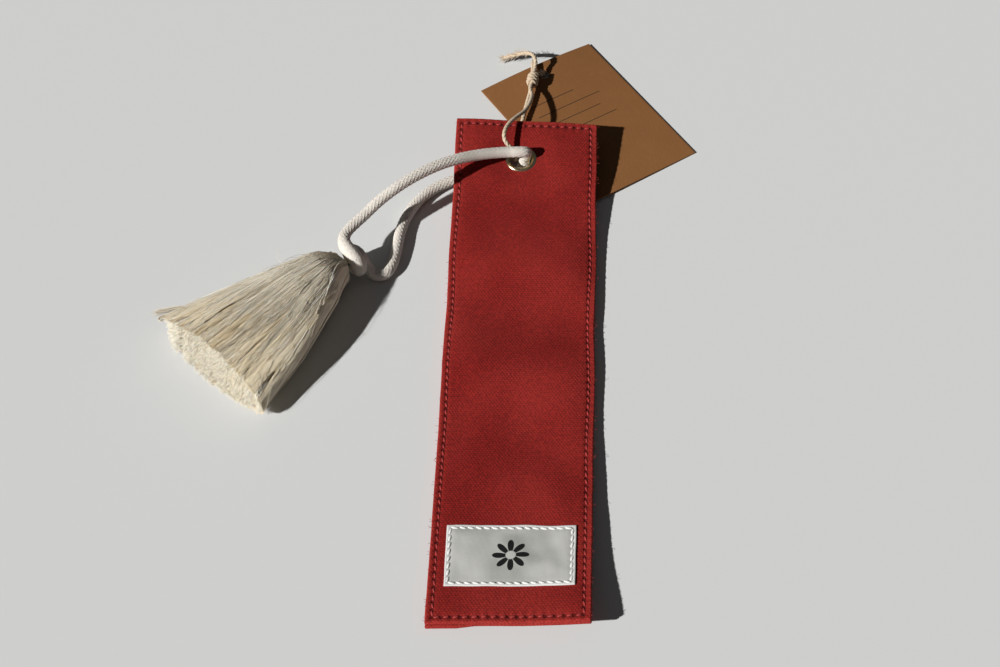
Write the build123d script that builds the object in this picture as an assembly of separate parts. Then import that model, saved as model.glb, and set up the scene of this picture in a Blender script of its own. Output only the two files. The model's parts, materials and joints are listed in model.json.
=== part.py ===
from build123d import *
import os
from math import cos, pi, radians, sin, tan

# Canvas strip, as it is sewn
WIDTH = 45.0
LENGTH = 185.0
CLOTH = 0.5
HEM = 8.0
INTERLINING_GAP = 0.3

# How the strip lies on the table: curled up at the label end, flat, bent, then a ramp to the eyelet end
CURL_LENGTH = 80.0
CURL_ANGLE = 4.3
BEND_LENGTH = 26.0
RAMP_LENGTH = 38.0
RAMP_ANGLE = 8.0

# Seam around the edge
SEAM_INSET = 1.5
SEAM_CHANNEL = 0.9
FRONT_CHANNEL_DEPTH = 0.15
BACK_CHANNEL_DEPTH = 0.35
STITCH_PITCH = 2.45
STITCH_LENGTH = 1.95
STITCH_WIDTH = 0.6
STITCH_HEIGHT = 0.3
STITCH_SLANT = 7.0
STITCH_LIFT = 0.01

# Woven label
LABEL_FROM_SIDE = 4.5
LABEL_LENGTH = 20.5
LABEL_THICKNESS = 0.4
LABEL_LIFT = 0.02
LABEL_FROM_END = 11.8
LABEL_SEAM_INSET = 1.0
LABEL_PITCH = 2.25
LABEL_STITCH_LENGTH = 1.6
LABEL_STITCH_WIDTH = 0.5
LABEL_STITCH_HEIGHT = 0.2

# Eyelet and its washer
BORE = 6.8
BARREL_WALL = 0.3
FLANGE = 10.2
FLANGE_HEIGHT = 0.7
WASHER_THICKNESS = 0.35
LIP_HEIGHT = 0.22
LIP_BULGE = 0.87
EYELET_SINK = 0.35
EYELET_FROM_END = 14.6
EYELET_X = -1.4
FIT = 0.05

# Cord; the routes give distances in plan from the eyelet and heights above the table
CORD = 3.6
CORD_FOLD = 3.6
CORD_IN_BORE = (-0.5, -0.55)
FRONT_ARCH_HEIGHT = 11.0
TABLE_GAP = 0.05
ARC_SHARE = 0.45
CORD_FRONT_ROUTE = [(-12.6, -2.4, 11.3), (-21.6, -5.0, 11.6), (-28.9, -9.4, 11.8),
                    (-36.6, -15.4, 11.7), (-43.6, -22.6, 11.2), (-49.4, -30.0, 10.2)]
CORD_BACK_ROUTE = [(-38.8, -41.6), (-37.6, -34.0), (-37.2, -26.6), (-35.0, -18.8), (-30.8, -11.2),
                   (-23.2, -5.2), (-12.6, -1.6)]

# Knot, one and a quarter turns of the cord about an upright axis
KNOT_PLACE = (-50.0, -41.9)
KNOT_RADIUS = 3.7
KNOT_PITCH = 4.5
KNOT_QUARTERS = 5

# Tassel, lying on the table and pointing away from the knot
TASSEL_HEADING = 226.0
TASSEL_LOCKS = 15
TASSEL_GROOVE = 0.92
TASSEL_ARCH = 0.7
TASSEL_SECTIONS = [(3.0, 6.0, 9.0), (7.0, 8.6, 13.4), (12.0, 9.8, 15.6), (22.0, 12.4, 16.4),
                   (38.0, 18.0, 16.0), (60.5, 24.5, 14.5)]
TASSEL_CUT_SLOPE = 0.35
TIE_THREAD = 0.8
TIE_CLEARANCE = 0.5
CUP_CLEARANCE = 0.1

# Swing tag
TAG_WIDTH = 43.0
TAG_LENGTH = 61.0
TAG_THICKNESS = 0.4
TAG_HOLE = 4.0
TAG_HOLE_FROM_EDGE = 5.0
TAG_TILT = 1.9
TAG_CORNER = (20.1, -13.3)
TAG_HEADING = 124.7

# Twine of the tag
TWINE = 1.4
TWINE_FOLD = 1.4
TWINE_IN_BORE = (0.4, 2.2)
TWINE_ARCH_HEIGHT = 9.8
TWINE_UNDER_HEIGHT = 2.5
TWINE_FRONT_ROUTE = [(-2.0, 7.2, 10.1), (-2.7, 12.4, 10.7), (-2.0, 17.8, 10.3), (-0.6, 23.4, 8.6),
                     (1.1, 29.0, 6.2)]
TWINE_BACK_ROUTE = [(-0.1, 8.0, 2.7), (-0.8, 14.4, 3.0), (-0.2, 21.0, 3.4), (1.0, 27.6, 4.0)]
TWINE_TAIL_ROUTE = [(3.7, 46.8, 6.6), (2.6, 50.4, 6.2), (-0.6, 53.0, 4.8), (-5.0, 53.4, 3.0),
                    (-9.4, 52.6, 1.4)]
TWINE_KNOT_START = (2.3, 35.2, 4.8)
TWINE_KNOT_LENGTH = 5.4
TWINE_KNOT_WIDTH = 4.8
TWINE_KNOT_END = 4.0
TWINE_KNOT_TURN = 8.0
STRAND_SPACING = 1.0
STRAND_OUT = 120.0
STRAND_HOME = 240.0
TAG_LOOP_DROP = 1.1

# Derived sizes
THICKNESS = 4 * CLOTH
FLAT_LENGTH = LENGTH - CURL_LENGTH - BEND_LENGTH - RAMP_LENGTH
CURL_RADIUS = CURL_LENGTH / radians(CURL_ANGLE)
BEND_RADIUS = BEND_LENGTH / radians(RAMP_ANGLE)
FLAT_END = CURL_LENGTH + FLAT_LENGTH
BEND_END = FLAT_END + BEND_LENGTH
BREAKS = [CURL_LENGTH, FLAT_END, BEND_END]
BARREL = BORE + 2 * BARREL_WALL
CORD_REST = CORD / 2 + TABLE_GAP
LABEL_WIDTH = WIDTH - 2 * LABEL_FROM_SIDE
EPS = 0.001
THROUGH = 4 * THICKNESS


def rise(s):
    """Underside of the strip at s from the label end: y from the start of the flat, z and slope."""
    if s < CURL_LENGTH:
        slope = (s - CURL_LENGTH) / CURL_RADIUS
        return CURL_RADIUS * sin(slope), CURL_RADIUS * (1 - cos(slope)), slope
    if s <= FLAT_END:
        return s - CURL_LENGTH, 0.0, 0.0
    slope = min((s - FLAT_END) / BEND_RADIUS, radians(RAMP_ANGLE))
    along = max(s - BEND_END, 0.0)
    y = FLAT_LENGTH + BEND_RADIUS * sin(slope) + along * cos(slope)
    z = BEND_RADIUS * (1 - cos(slope)) + along * sin(slope)
    return y, z, slope


Y_SHIFT = -(rise(0)[0] + rise(LENGTH)[0]) / 2


def surface(s, x=0.0, height=0.0):
    """Plane on the strip at station s, with its x axis across and its z axis off the cloth."""
    y, z, slope = rise(s)
    normal = Vector(0, -sin(slope), cos(slope))
    return Plane(Vector(x, y + Y_SHIFT, z) + normal * height, x_dir=(1, 0, 0), z_dir=normal)


def band(inset, low, high, sides=None, ends=None):
    """Curved slab of the strip, set in from its edges or between given sides and ends."""
    left, right = sides or (-WIDTH / 2 + inset, WIDTH / 2 - inset)
    start, stop = ends or (inset, LENGTH - inset)
    stops = [start] + [mark for mark in BREAKS if start < mark < stop] + [stop]
    edges = []
    for height in (low, high):
        for a, b in zip(stops, stops[1:]):
            first, middle, last = (surface(s, left, height).origin for s in (a, (a + b) / 2, b))
            straight = abs(rise(a)[2] - rise(b)[2]) < radians(EPS)
            edges.append(Line(first, last) if straight else ThreePointArc(first, middle, last))
    for s in (start, stop):
        edges.append(Line(surface(s, left, low).origin, surface(s, left, high).origin))
    return extrude(make_face(edges), amount=right - left, dir=(1, 0, 0))


def frame_band(inset, width, low, high):
    """Closed strip of a given width that runs around the panel, set in from its edge."""
    return band(inset, low, high) - band(inset + width, low, high)


def eyelet_plane(height):
    """Plane across the eyelet's axis, at a height above the strip's underside."""
    return surface(LENGTH - EYELET_FROM_END, EYELET_X, height)


def front_cloth():
    """Face cloth with its hems turned in, pressed down under the seam and the eyelet."""
    cloth = band(0, THICKNESS / 2, THICKNESS)
    cloth -= band(HEM, THICKNESS / 2, THICKNESS - CLOTH)
    cloth -= frame_band(SEAM_INSET, SEAM_CHANNEL, THICKNESS - FRONT_CHANNEL_DEPTH, THICKNESS + CLOTH)
    cloth -= eyelet_plane(THICKNESS / 2) * Cylinder(BARREL / 2 + FIT, THROUGH)
    seat = Cylinder(FLANGE / 2 + FIT, THICKNESS, align=(Align.CENTER, Align.CENTER, Align.MIN))
    return cloth - eyelet_plane(THICKNESS - EYELET_SINK) * seat


def back_cloth():
    """Back cloth with its hems turned in, grooved for the seam and recessed for the washer."""
    cloth = band(0, 0, THICKNESS / 2)
    cloth -= band(HEM, CLOTH, THICKNESS / 2)
    cloth -= frame_band(SEAM_INSET, SEAM_CHANNEL, -CLOTH, BACK_CHANNEL_DEPTH)
    cloth -= eyelet_plane(THICKNESS / 2) * Cylinder(BARREL / 2 + FIT, THROUGH)
    seat = Cylinder(FLANGE / 2 + FIT, THICKNESS, align=(Align.CENTER, Align.CENTER, Align.MAX))
    return cloth - eyelet_plane(EYELET_SINK) * seat


def interlining():
    """Stiff core between the two cloths, inside the hems."""
    core = band(HEM + INTERLINING_GAP, CLOTH, THICKNESS - CLOTH)
    return core - eyelet_plane(THICKNESS / 2) * Cylinder(BARREL / 2 + FIT, THROUGH)


def seam_stations(half_width, start, stop, pitch):
    """Places of the stitches of a rectangular seam: station, x and whether the row runs across."""
    across = int(2 * half_width / pitch)
    along = int((stop - start) / pitch)
    for i in range(across):
        x = -half_width + (i + 0.5) * 2 * half_width / across
        for s in (start, stop):
            yield s, x, True
    for i in range(along):
        s = start + (i + 0.5) * (stop - start) / along
        for x in (-half_width, half_width):
            yield s, x, False


def seam(places, height, length, width, thickness):
    """Stitches of one seam, each a short bar that leans a little from its row."""
    stitches = []
    for s, x, across in places:
        turn = STITCH_SLANT if across else 90 + STITCH_SLANT
        stitches.append(surface(s, x, height) * Rot(0, 0, turn) * Box(length, width, thickness))
    return Compound(stitches)


def edge_seam(height):
    """Stitches around the panel, at a height above its underside."""
    inset = SEAM_INSET + SEAM_CHANNEL / 2
    places = seam_stations(WIDTH / 2 - inset, inset, LENGTH - inset, STITCH_PITCH)
    return seam(places, height, STITCH_LENGTH, STITCH_WIDTH, STITCH_HEIGHT)


def edge_needle_thread():
    """Seam thread on the face, standing proud of its channel."""
    return edge_seam(THICKNESS - FRONT_CHANNEL_DEPTH + STITCH_LIFT + STITCH_HEIGHT / 2)


def edge_bobbin_thread():
    """Seam thread on the back, inside its channel."""
    return edge_seam(BACK_CHANNEL_DEPTH - STITCH_LIFT - STITCH_HEIGHT / 2)


def label():
    """White label that lies on the face cloth near the lower end."""
    sides = (-LABEL_WIDTH / 2, LABEL_WIDTH / 2)
    ends = (LABEL_FROM_END, LABEL_FROM_END + LABEL_LENGTH)
    low = THICKNESS + LABEL_LIFT
    return band(0, low, low + LABEL_THICKNESS, sides, ends)


def label_thread():
    """Stitches that hold the label down around its edge."""
    start = LABEL_FROM_END + LABEL_SEAM_INSET
    stop = LABEL_FROM_END + LABEL_LENGTH - LABEL_SEAM_INSET
    places = seam_stations(LABEL_WIDTH / 2 - LABEL_SEAM_INSET, start, stop, LABEL_PITCH)
    height = THICKNESS + LABEL_LIFT + LABEL_THICKNESS + STITCH_LIFT + LABEL_STITCH_HEIGHT / 2
    return seam(places, height, LABEL_STITCH_LENGTH, LABEL_STITCH_WIDTH, LABEL_STITCH_HEIGHT)


def eyelet():
    """Domed flange and barrel in one piece, with the barrel's end rolled out under the washer."""
    bore, barrel, flange = BORE / 2, BARREL / 2, FLANGE / 2
    top = THICKNESS - EYELET_SINK
    under = EYELET_SINK - WASHER_THICKNESS
    crown = (bore + flange) / 2
    section = make_face([
        Line((bore, under - LIP_HEIGHT), (bore, top)),
        ThreePointArc((bore, top), (crown, top + FLANGE_HEIGHT), (flange, top)),
        Line((flange, top), (barrel, top)),
        Line((barrel, top), (barrel, under)),
        Line((barrel, under), (barrel + LIP_HEIGHT, under)),
        ThreePointArc((barrel + LIP_HEIGHT, under),
                      (barrel + LIP_HEIGHT / 2, under - LIP_HEIGHT * LIP_BULGE),
                      (bore, under - LIP_HEIGHT)),
    ])
    upright = Plane.XZ * section
    return eyelet_plane(0) * revolve(upright, Axis.Z)


def eyelet_washer():
    """Flat ring behind the cloth, under the rolled lip of the barrel."""
    ring = Circle(FLANGE / 2) - Circle(BARREL / 2 + FIT)
    return eyelet_plane(EYELET_SINK - WASHER_THICKNESS) * extrude(ring, amount=WASHER_THICKNESS)


def corner_radii(points, thickness, fold):
    """Largest radius that each corner of a route leaves room for, but no tighter than the fold."""
    radii = []
    for before, here, after in zip(points, points[1:], points[2:]):
        turn = radians((here - before).get_angle(after - here))
        run = min((here - before).length, (after - here).length)
        radii.append(max(ARC_SHARE * run / tan(turn / 2), fold))
    print("radii in diameters", [round(radius / thickness, 1) for radius in radii])
    return radii


def tube(points, thickness, fold):
    """Round cord along a route of straight runs joined by tangent arcs."""
    points = [Vector(*point) for point in points]
    path = FilletPolyline(*points, radius=corner_radii(points, thickness, fold))
    start = Plane(path @ 0, z_dir=path % 0)
    cord = sweep(start * Circle(thickness / 2), path=path)
    print("volume over section times length", round(cord.volume / (pi * thickness**2 / 4 * path.length), 4))
    return cord


def bore_middle(offset):
    """Middle of the eyelet's bore, moved sideways in plan."""
    centre = eyelet_plane(THICKNESS / 2).origin
    return Vector(centre.X + offset[0], centre.Y + offset[1], centre.Z)


def off_eyelet(x, y, height=0.0):
    """Place at a distance in plan from the eyelet, at a height above the table."""
    return above(bore_middle((x, y)), height)


def above(point, height):
    """The same place in plan at another height."""
    return Vector(point.X, point.Y, height)


def knot_mark(quarter):
    """Centre line of the knot after some quarter turns, and its heading: down, but level at the end."""
    axis = off_eyelet(*KNOT_PLACE)
    height = CORD_REST + KNOT_PITCH * (KNOT_QUARTERS - quarter) / 4
    angle = pi + quarter * pi / 2
    drop = KNOT_PITCH / (2 * pi) if quarter < KNOT_QUARTERS else 0.0
    place = axis + Vector(KNOT_RADIUS * cos(angle), KNOT_RADIUS * sin(angle), height)
    return place, Vector(-KNOT_RADIUS * sin(angle), KNOT_RADIUS * cos(angle), -drop).normalized()


def biarc(start, start_heading, stop, stop_heading):
    """Two arcs that join two points with given headings."""
    chord = stop - start
    swing = start_heading + stop_heading
    bend = 2 * (1 - start_heading.dot(stop_heading))
    lean = chord.dot(swing)
    reach = (-lean + (lean**2 + bend * chord.dot(chord)) ** 0.5) / bend
    middle = (start + stop + (start_heading - stop_heading) * reach) / 2
    heading = (stop - stop_heading * reach - start - start_heading * reach).normalized()
    return [TangentArc(start, middle, tangent=start_heading), TangentArc(middle, stop, tangent=heading)]


def knot_ends():
    """Outer ends of the knot's straight tails: where the front strand comes in, where the back one leaves."""
    first, first_heading = knot_mark(0)
    last, last_heading = knot_mark(KNOT_QUARTERS)
    return first - first_heading * CORD, last + last_heading * CORD


def cord_knot():
    """Round turn of the cord, with a straight tail of one diameter at each end."""
    marks = [knot_mark(quarter) for quarter in range(KNOT_QUARTERS + 1)]
    entry, leave = knot_ends()
    edges = [Line(entry, marks[0][0])]
    for (a, a_heading), (b, b_heading) in zip(marks, marks[1:]):
        edges += biarc(a, a_heading, b, b_heading)
    edges.append(Line(marks[-1][0], leave))
    path = Wire(edges)
    count, less_than_a_turn = 120, 45
    samples = [path @ (i / count) for i in range(count + 1)]
    apart = [(a - b).length for i, a in enumerate(samples) for b in samples[i + less_than_a_turn:]]
    print("least gap of the knot to itself", round(min(apart) - CORD, 2))
    return sweep(Plane(path @ 0, z_dir=path % 0) * Circle(CORD / 2), path=path)


def cord_front_strand():
    """Upper strand, from the eyelet over the panel's edge and down into the knot."""
    start = bore_middle(CORD_IN_BORE)
    entry = knot_ends()[0]
    lead = entry - knot_mark(0)[1] * CORD
    over = [off_eyelet(*place) for place in CORD_FRONT_ROUTE]
    return tube([start, above(start, FRONT_ARCH_HEIGHT), *over, lead, entry], CORD, CORD_FOLD)


def cord_back_strand():
    """Lower strand, from the knot along the table and under the panel up into the eyelet."""
    stop = bore_middle(CORD_IN_BORE)
    leave = knot_ends()[1]
    lead = leave + knot_mark(KNOT_QUARTERS)[1] * CORD
    floor = [off_eyelet(x, y, CORD_REST) for x, y in CORD_BACK_ROUTE]
    return tube([leave, lead, *floor, above(stop, CORD_REST), stop], CORD, CORD_FOLD)


def tassel_frame():
    """Plane on the table under the knot, with its x axis along the tassel."""
    heading = radians(TASSEL_HEADING)
    place = off_eyelet(*KNOT_PLACE, TABLE_GAP)
    return Plane(place, x_dir=(cos(heading), sin(heading), 0), z_dir=(0, 0, 1))


def tassel_section(along, half_width, height, slope):
    """Outline across the tassel: flat below, arched above, with a groove between locks."""
    points = []
    steps = 2 * TASSEL_LOCKS
    for i in range(steps + 1):
        angle = pi * i / steps
        size = TASSEL_GROOVE if i % 2 else 1.0
        z = size * height * sin(angle) ** TASSEL_ARCH if 0 < i < steps else 0.0
        points.append((along - slope * z, size * half_width * cos(angle), z))
    return make_face(Polyline(*points, close=True))


def tassel_yarn():
    """Bundle of yarn, folded over at the top, spread and cut off at a slope, cupped around the knot."""
    last = len(TASSEL_SECTIONS) - 1
    sections = []
    for i, (along, half_width, height) in enumerate(TASSEL_SECTIONS):
        sections.append(tassel_section(along, half_width, height, TASSEL_CUT_SLOPE if i == last else 0.0))
    tallest = max(height for _, _, height in TASSEL_SECTIONS)
    cup = Cylinder(tie_ring() + TIE_THREAD / 2 + CUP_CLEARANCE, 4 * tallest)
    return tassel_frame() * (loft(sections, ruled=True) - cup)


def tie_ring():
    """Radius of the tie thread's centre line, around the knot."""
    return KNOT_RADIUS + CORD / 2 + TIE_CLEARANCE + TIE_THREAD / 2


def tassel_tie():
    """Thread that ties the tassel's head round the knot."""
    height = CORD_REST + CORD / 2 + TIE_CLEARANCE + TIE_THREAD / 2
    return Pos(off_eyelet(*KNOT_PLACE, height)) * Torus(tie_ring(), TIE_THREAD / 2)


def tag_plane():
    """Plane of the card's underside, from its lowest corner, with y towards the hole."""
    heading = radians(TAG_HEADING)
    long_side = Vector(cos(heading) * cos(radians(TAG_TILT)), sin(heading) * cos(radians(TAG_TILT)),
                       sin(radians(TAG_TILT)))
    across = Vector(sin(heading), -cos(heading), 0)
    return Plane(off_eyelet(*TAG_CORNER, TABLE_GAP), x_dir=across, z_dir=across.cross(long_side))


def tag_hole():
    """Centre of the card's hole, in the card's own plane."""
    return TAG_WIDTH / 2, TAG_LENGTH - TAG_HOLE_FROM_EDGE


def swing_tag():
    """Kraft card with a punched hole in the middle of one short side."""
    card = Rectangle(TAG_WIDTH, TAG_LENGTH, align=(Align.MIN, Align.MIN))
    card -= Pos(*tag_hole()) * Circle(TAG_HOLE / 2)
    return tag_plane() * extrude(card, amount=TAG_THICKNESS)


def twine_knot_plane(along):
    """Plane across the twine's knot, at a distance from its panel end."""
    heading = radians(90 - TWINE_KNOT_TURN)
    direction = Vector(cos(heading), sin(heading), 0)
    return Plane(off_eyelet(*TWINE_KNOT_START) + direction * along, x_dir=(0, 0, 1), z_dir=direction)


def twine_knot():
    """Small two-lobed knot that gathers the twine."""
    end, crest = TWINE_KNOT_END / 2, TWINE_KNOT_WIDTH / 2
    half = TWINE_KNOT_LENGTH / 2
    waist = (end + crest) / 2
    section = make_face([
        Line((0, 0), (end, 0)),
        ThreePointArc((end, 0), (crest, half / 2), (waist, half)),
        ThreePointArc((waist, half), (crest, half * 3 / 2), (end, 2 * half)),
        Line((end, 2 * half), (0, 2 * half)),
        Line((0, 2 * half), (0, 0)),
    ])
    return twine_knot_plane(0) * revolve(Plane.XZ * section, Axis.Z)


def knot_seat(along, turn, lead=0.0):
    """Where a strand of twine meets an end of its knot, or a short way out from there."""
    plane = twine_knot_plane(along)
    side = plane.x_dir * cos(radians(turn)) + plane.y_dir * sin(radians(turn))
    return plane.origin + side * STRAND_SPACING + plane.z_dir * lead


def twine_loop():
    """Twine from its knot over the panel's end, through the eyelet and back underneath."""
    middle = bore_middle(TWINE_IN_BORE)
    over = [off_eyelet(*place) for place in reversed(TWINE_FRONT_ROUTE)]
    front = [knot_seat(0, 0), knot_seat(0, 0, -2 * TWINE), *over]
    eye = [above(middle, TWINE_ARCH_HEIGHT), above(middle, TWINE_UNDER_HEIGHT)]
    under = [off_eyelet(*place) for place in TWINE_BACK_ROUTE]
    back = [*under, knot_seat(0, 180, -2 * TWINE), knot_seat(0, 180)]
    return tube([*front, *eye, *back], TWINE, TWINE_FOLD)


def twine_tag_loop():
    """Twine from its knot through the card's hole, round the card's edge and back."""
    x, y = tag_hole()
    card = tag_plane()
    lift = TAG_THICKNESS + TWINE
    down = [card.from_local_coords((x, y, height)) for height in (lift, -TAG_LOOP_DROP)]
    edge = [card.from_local_coords((x, TAG_LENGTH + TWINE, height)) for height in (-TAG_LOOP_DROP, lift)]
    out = [knot_seat(TWINE_KNOT_LENGTH, STRAND_OUT, lead) for lead in (0.0, TWINE)]
    home = [knot_seat(TWINE_KNOT_LENGTH, STRAND_HOME, lead) for lead in (TWINE, 0.0)]
    return tube([*out, *down, *edge, *home], TWINE, TWINE_FOLD / 2)


def twine_tail():
    """Free end of the twine, standing off the card and bent to one side."""
    start = [knot_seat(TWINE_KNOT_LENGTH, 0), knot_seat(TWINE_KNOT_LENGTH, 0, 2 * TWINE)]
    return tube([*start, *(off_eyelet(*place) for place in TWINE_TAIL_ROUTE)], TWINE, TWINE_FOLD)


PIECES = [front_cloth, back_cloth, interlining, edge_needle_thread, edge_bobbin_thread, label, label_thread,
          eyelet, eyelet_washer, cord_front_strand, cord_back_strand, cord_knot, tassel_yarn, tassel_tie,
          swing_tag, twine_loop, twine_tag_loop, twine_tail, twine_knot]

os.makedirs("parts", exist_ok=True)
for piece in PIECES:
    export_step(piece(), f"parts/{piece.__name__}.step")
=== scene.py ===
"""Cloth bookmark: a stitched canvas strip with a label, an eyelet, a cord with a tassel, and a swing tag."""

import json
import logging
import math
import random
from dataclasses import dataclass, field
from enum import Enum
from typing import Any, Callable, Iterable, Sequence

import bmesh
import bpy
from mathutils import Matrix, Vector, noise

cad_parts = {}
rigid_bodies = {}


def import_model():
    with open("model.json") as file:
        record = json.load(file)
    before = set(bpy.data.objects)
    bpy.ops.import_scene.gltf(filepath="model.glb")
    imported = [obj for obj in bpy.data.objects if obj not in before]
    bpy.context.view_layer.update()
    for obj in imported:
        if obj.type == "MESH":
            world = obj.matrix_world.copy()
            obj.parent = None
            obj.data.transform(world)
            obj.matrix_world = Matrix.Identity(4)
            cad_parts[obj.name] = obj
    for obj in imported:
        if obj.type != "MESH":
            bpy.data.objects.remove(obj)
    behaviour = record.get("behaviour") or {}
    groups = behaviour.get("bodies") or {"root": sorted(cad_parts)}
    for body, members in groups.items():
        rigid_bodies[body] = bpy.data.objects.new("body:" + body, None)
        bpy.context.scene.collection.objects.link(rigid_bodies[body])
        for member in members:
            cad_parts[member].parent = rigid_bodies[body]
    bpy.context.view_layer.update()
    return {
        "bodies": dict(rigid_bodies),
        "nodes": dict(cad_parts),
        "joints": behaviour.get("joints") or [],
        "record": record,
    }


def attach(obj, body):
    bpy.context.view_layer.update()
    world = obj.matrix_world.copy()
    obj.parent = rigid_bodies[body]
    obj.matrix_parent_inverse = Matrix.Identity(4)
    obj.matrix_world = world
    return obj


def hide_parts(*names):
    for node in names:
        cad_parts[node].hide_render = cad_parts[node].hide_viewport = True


LOG = logging.getLogger("bookmark")
MM = 0.001
PATTERN_MAP = "pattern"
PATTERN_SIZE = 200.0
MIX_FIRST = 6
MIX_SECOND = 7
MIX_RESULT = 2
UP = Vector((0.0, 0.0, 1.0))
Colour = tuple[float, float, float]
Point = tuple[float, float, float]
Line = list[Vector]


class Body(Enum):
    """Moving bodies of the bookmark."""

    PANEL = "panel"
    CORD = "cord"
    TASSEL = "tassel"
    TAG = "tag"


class Slot(Enum):
    """Material slots of the record."""

    CANVAS = "canvas_red"
    FELT = "felt"
    RED_THREAD = "thread_red"
    LABEL = "label_white"
    WHITE_THREAD = "thread_white"
    BRASS = "brass"
    CORD = "cord_ivory"
    YARN = "yarn_cream"
    KRAFT = "kraft"
    TWINE = "twine_beige"


class Shade(Enum):
    """Shades of the tassel's yarn; some carry painted light and some painted shade."""

    TOP = "top"
    HOLLOW_PAINTED_SHADE = "warm"
    ENDS_PAINTED_LIGHT = "pale"
    COOL = "cool"
    FLANK_PAINTED_LIGHT = "flank"
    BRIGHT = "bright"
    TIE_PAINTED_SHADE = "tie"


def clamp(value: float, low: float = 0.0, high: float = 1.0) -> float:
    """Value kept between two limits."""
    return min(max(value, low), high)


def mixed(first: float, second: float, share: float) -> float:
    """Number at a share of the way between two numbers."""
    return first + (second - first) * share


def ease(share: float) -> float:
    """Smooth step of a share from 0 to 1."""
    return share * share * (3 - 2 * share)


def bell(value: float, middle: float, spread: float) -> float:
    """Rounded peak that is 1 at the middle."""
    return math.exp(-((value - middle) / spread) ** 2)


def swung(along: float, across: float, degrees: float) -> tuple[float, float]:
    """Place in plan of a point along and across a heading."""
    turn = math.radians(degrees)
    return along * math.cos(turn) - across * math.sin(turn), along * math.sin(turn) + across * math.cos(turn)


def stitch_step(reach: float, pitch: float) -> float:
    """True distance between the stitches of a row of that reach."""
    return reach / int(reach / pitch)


class Wire:
    """Shader value that takes part in Python expressions."""

    def __init__(self, graph: "Graph", socket: bpy.types.NodeSocket) -> None:
        """Holds a socket and the graph that it belongs to."""
        self.graph = graph
        self.socket = socket

    def math(self, operation: str, *others: Any) -> "Wire":
        """Result of a Math node on this value and others."""
        return self.graph.math(operation, self, *others)

    def __add__(self, other: Any) -> "Wire":
        """Sum."""
        return self.math("ADD", other)

    __radd__ = __add__

    def __sub__(self, other: Any) -> "Wire":
        """Difference."""
        return self.math("SUBTRACT", other)

    def __rsub__(self, other: Any) -> "Wire":
        """Difference from a number."""
        return self.graph.math("SUBTRACT", other, self)

    def __mul__(self, other: Any) -> "Wire":
        """Product."""
        return self.math("MULTIPLY", other)

    __rmul__ = __mul__

    def __truediv__(self, other: Any) -> "Wire":
        """Quotient."""
        return self.math("DIVIDE", other)

    def __pow__(self, other: Any) -> "Wire":
        """Power."""
        return self.math("POWER", other)

    def wave(self) -> "Wire":
        """Cosine of whole turns, from 0 to 1."""
        return (self * math.tau).math("COSINE") * 0.5 + 0.5

    def between(self, low: float, high: float) -> "Wire":
        """Smooth step from 0 at low to 1 at high.

        Args:
            low: value that gives 0.
            high: value that gives 1.

        Returns:
            The stepped value.
        """
        settings = {"interpolation_type": "SMOOTHSTEP"}
        inputs = {"Value": self, "From Min": low, "From Max": high}
        made = self.graph.node("ShaderNodeMapRange", settings, inputs)
        return self.graph.out(made, 0)


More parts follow.
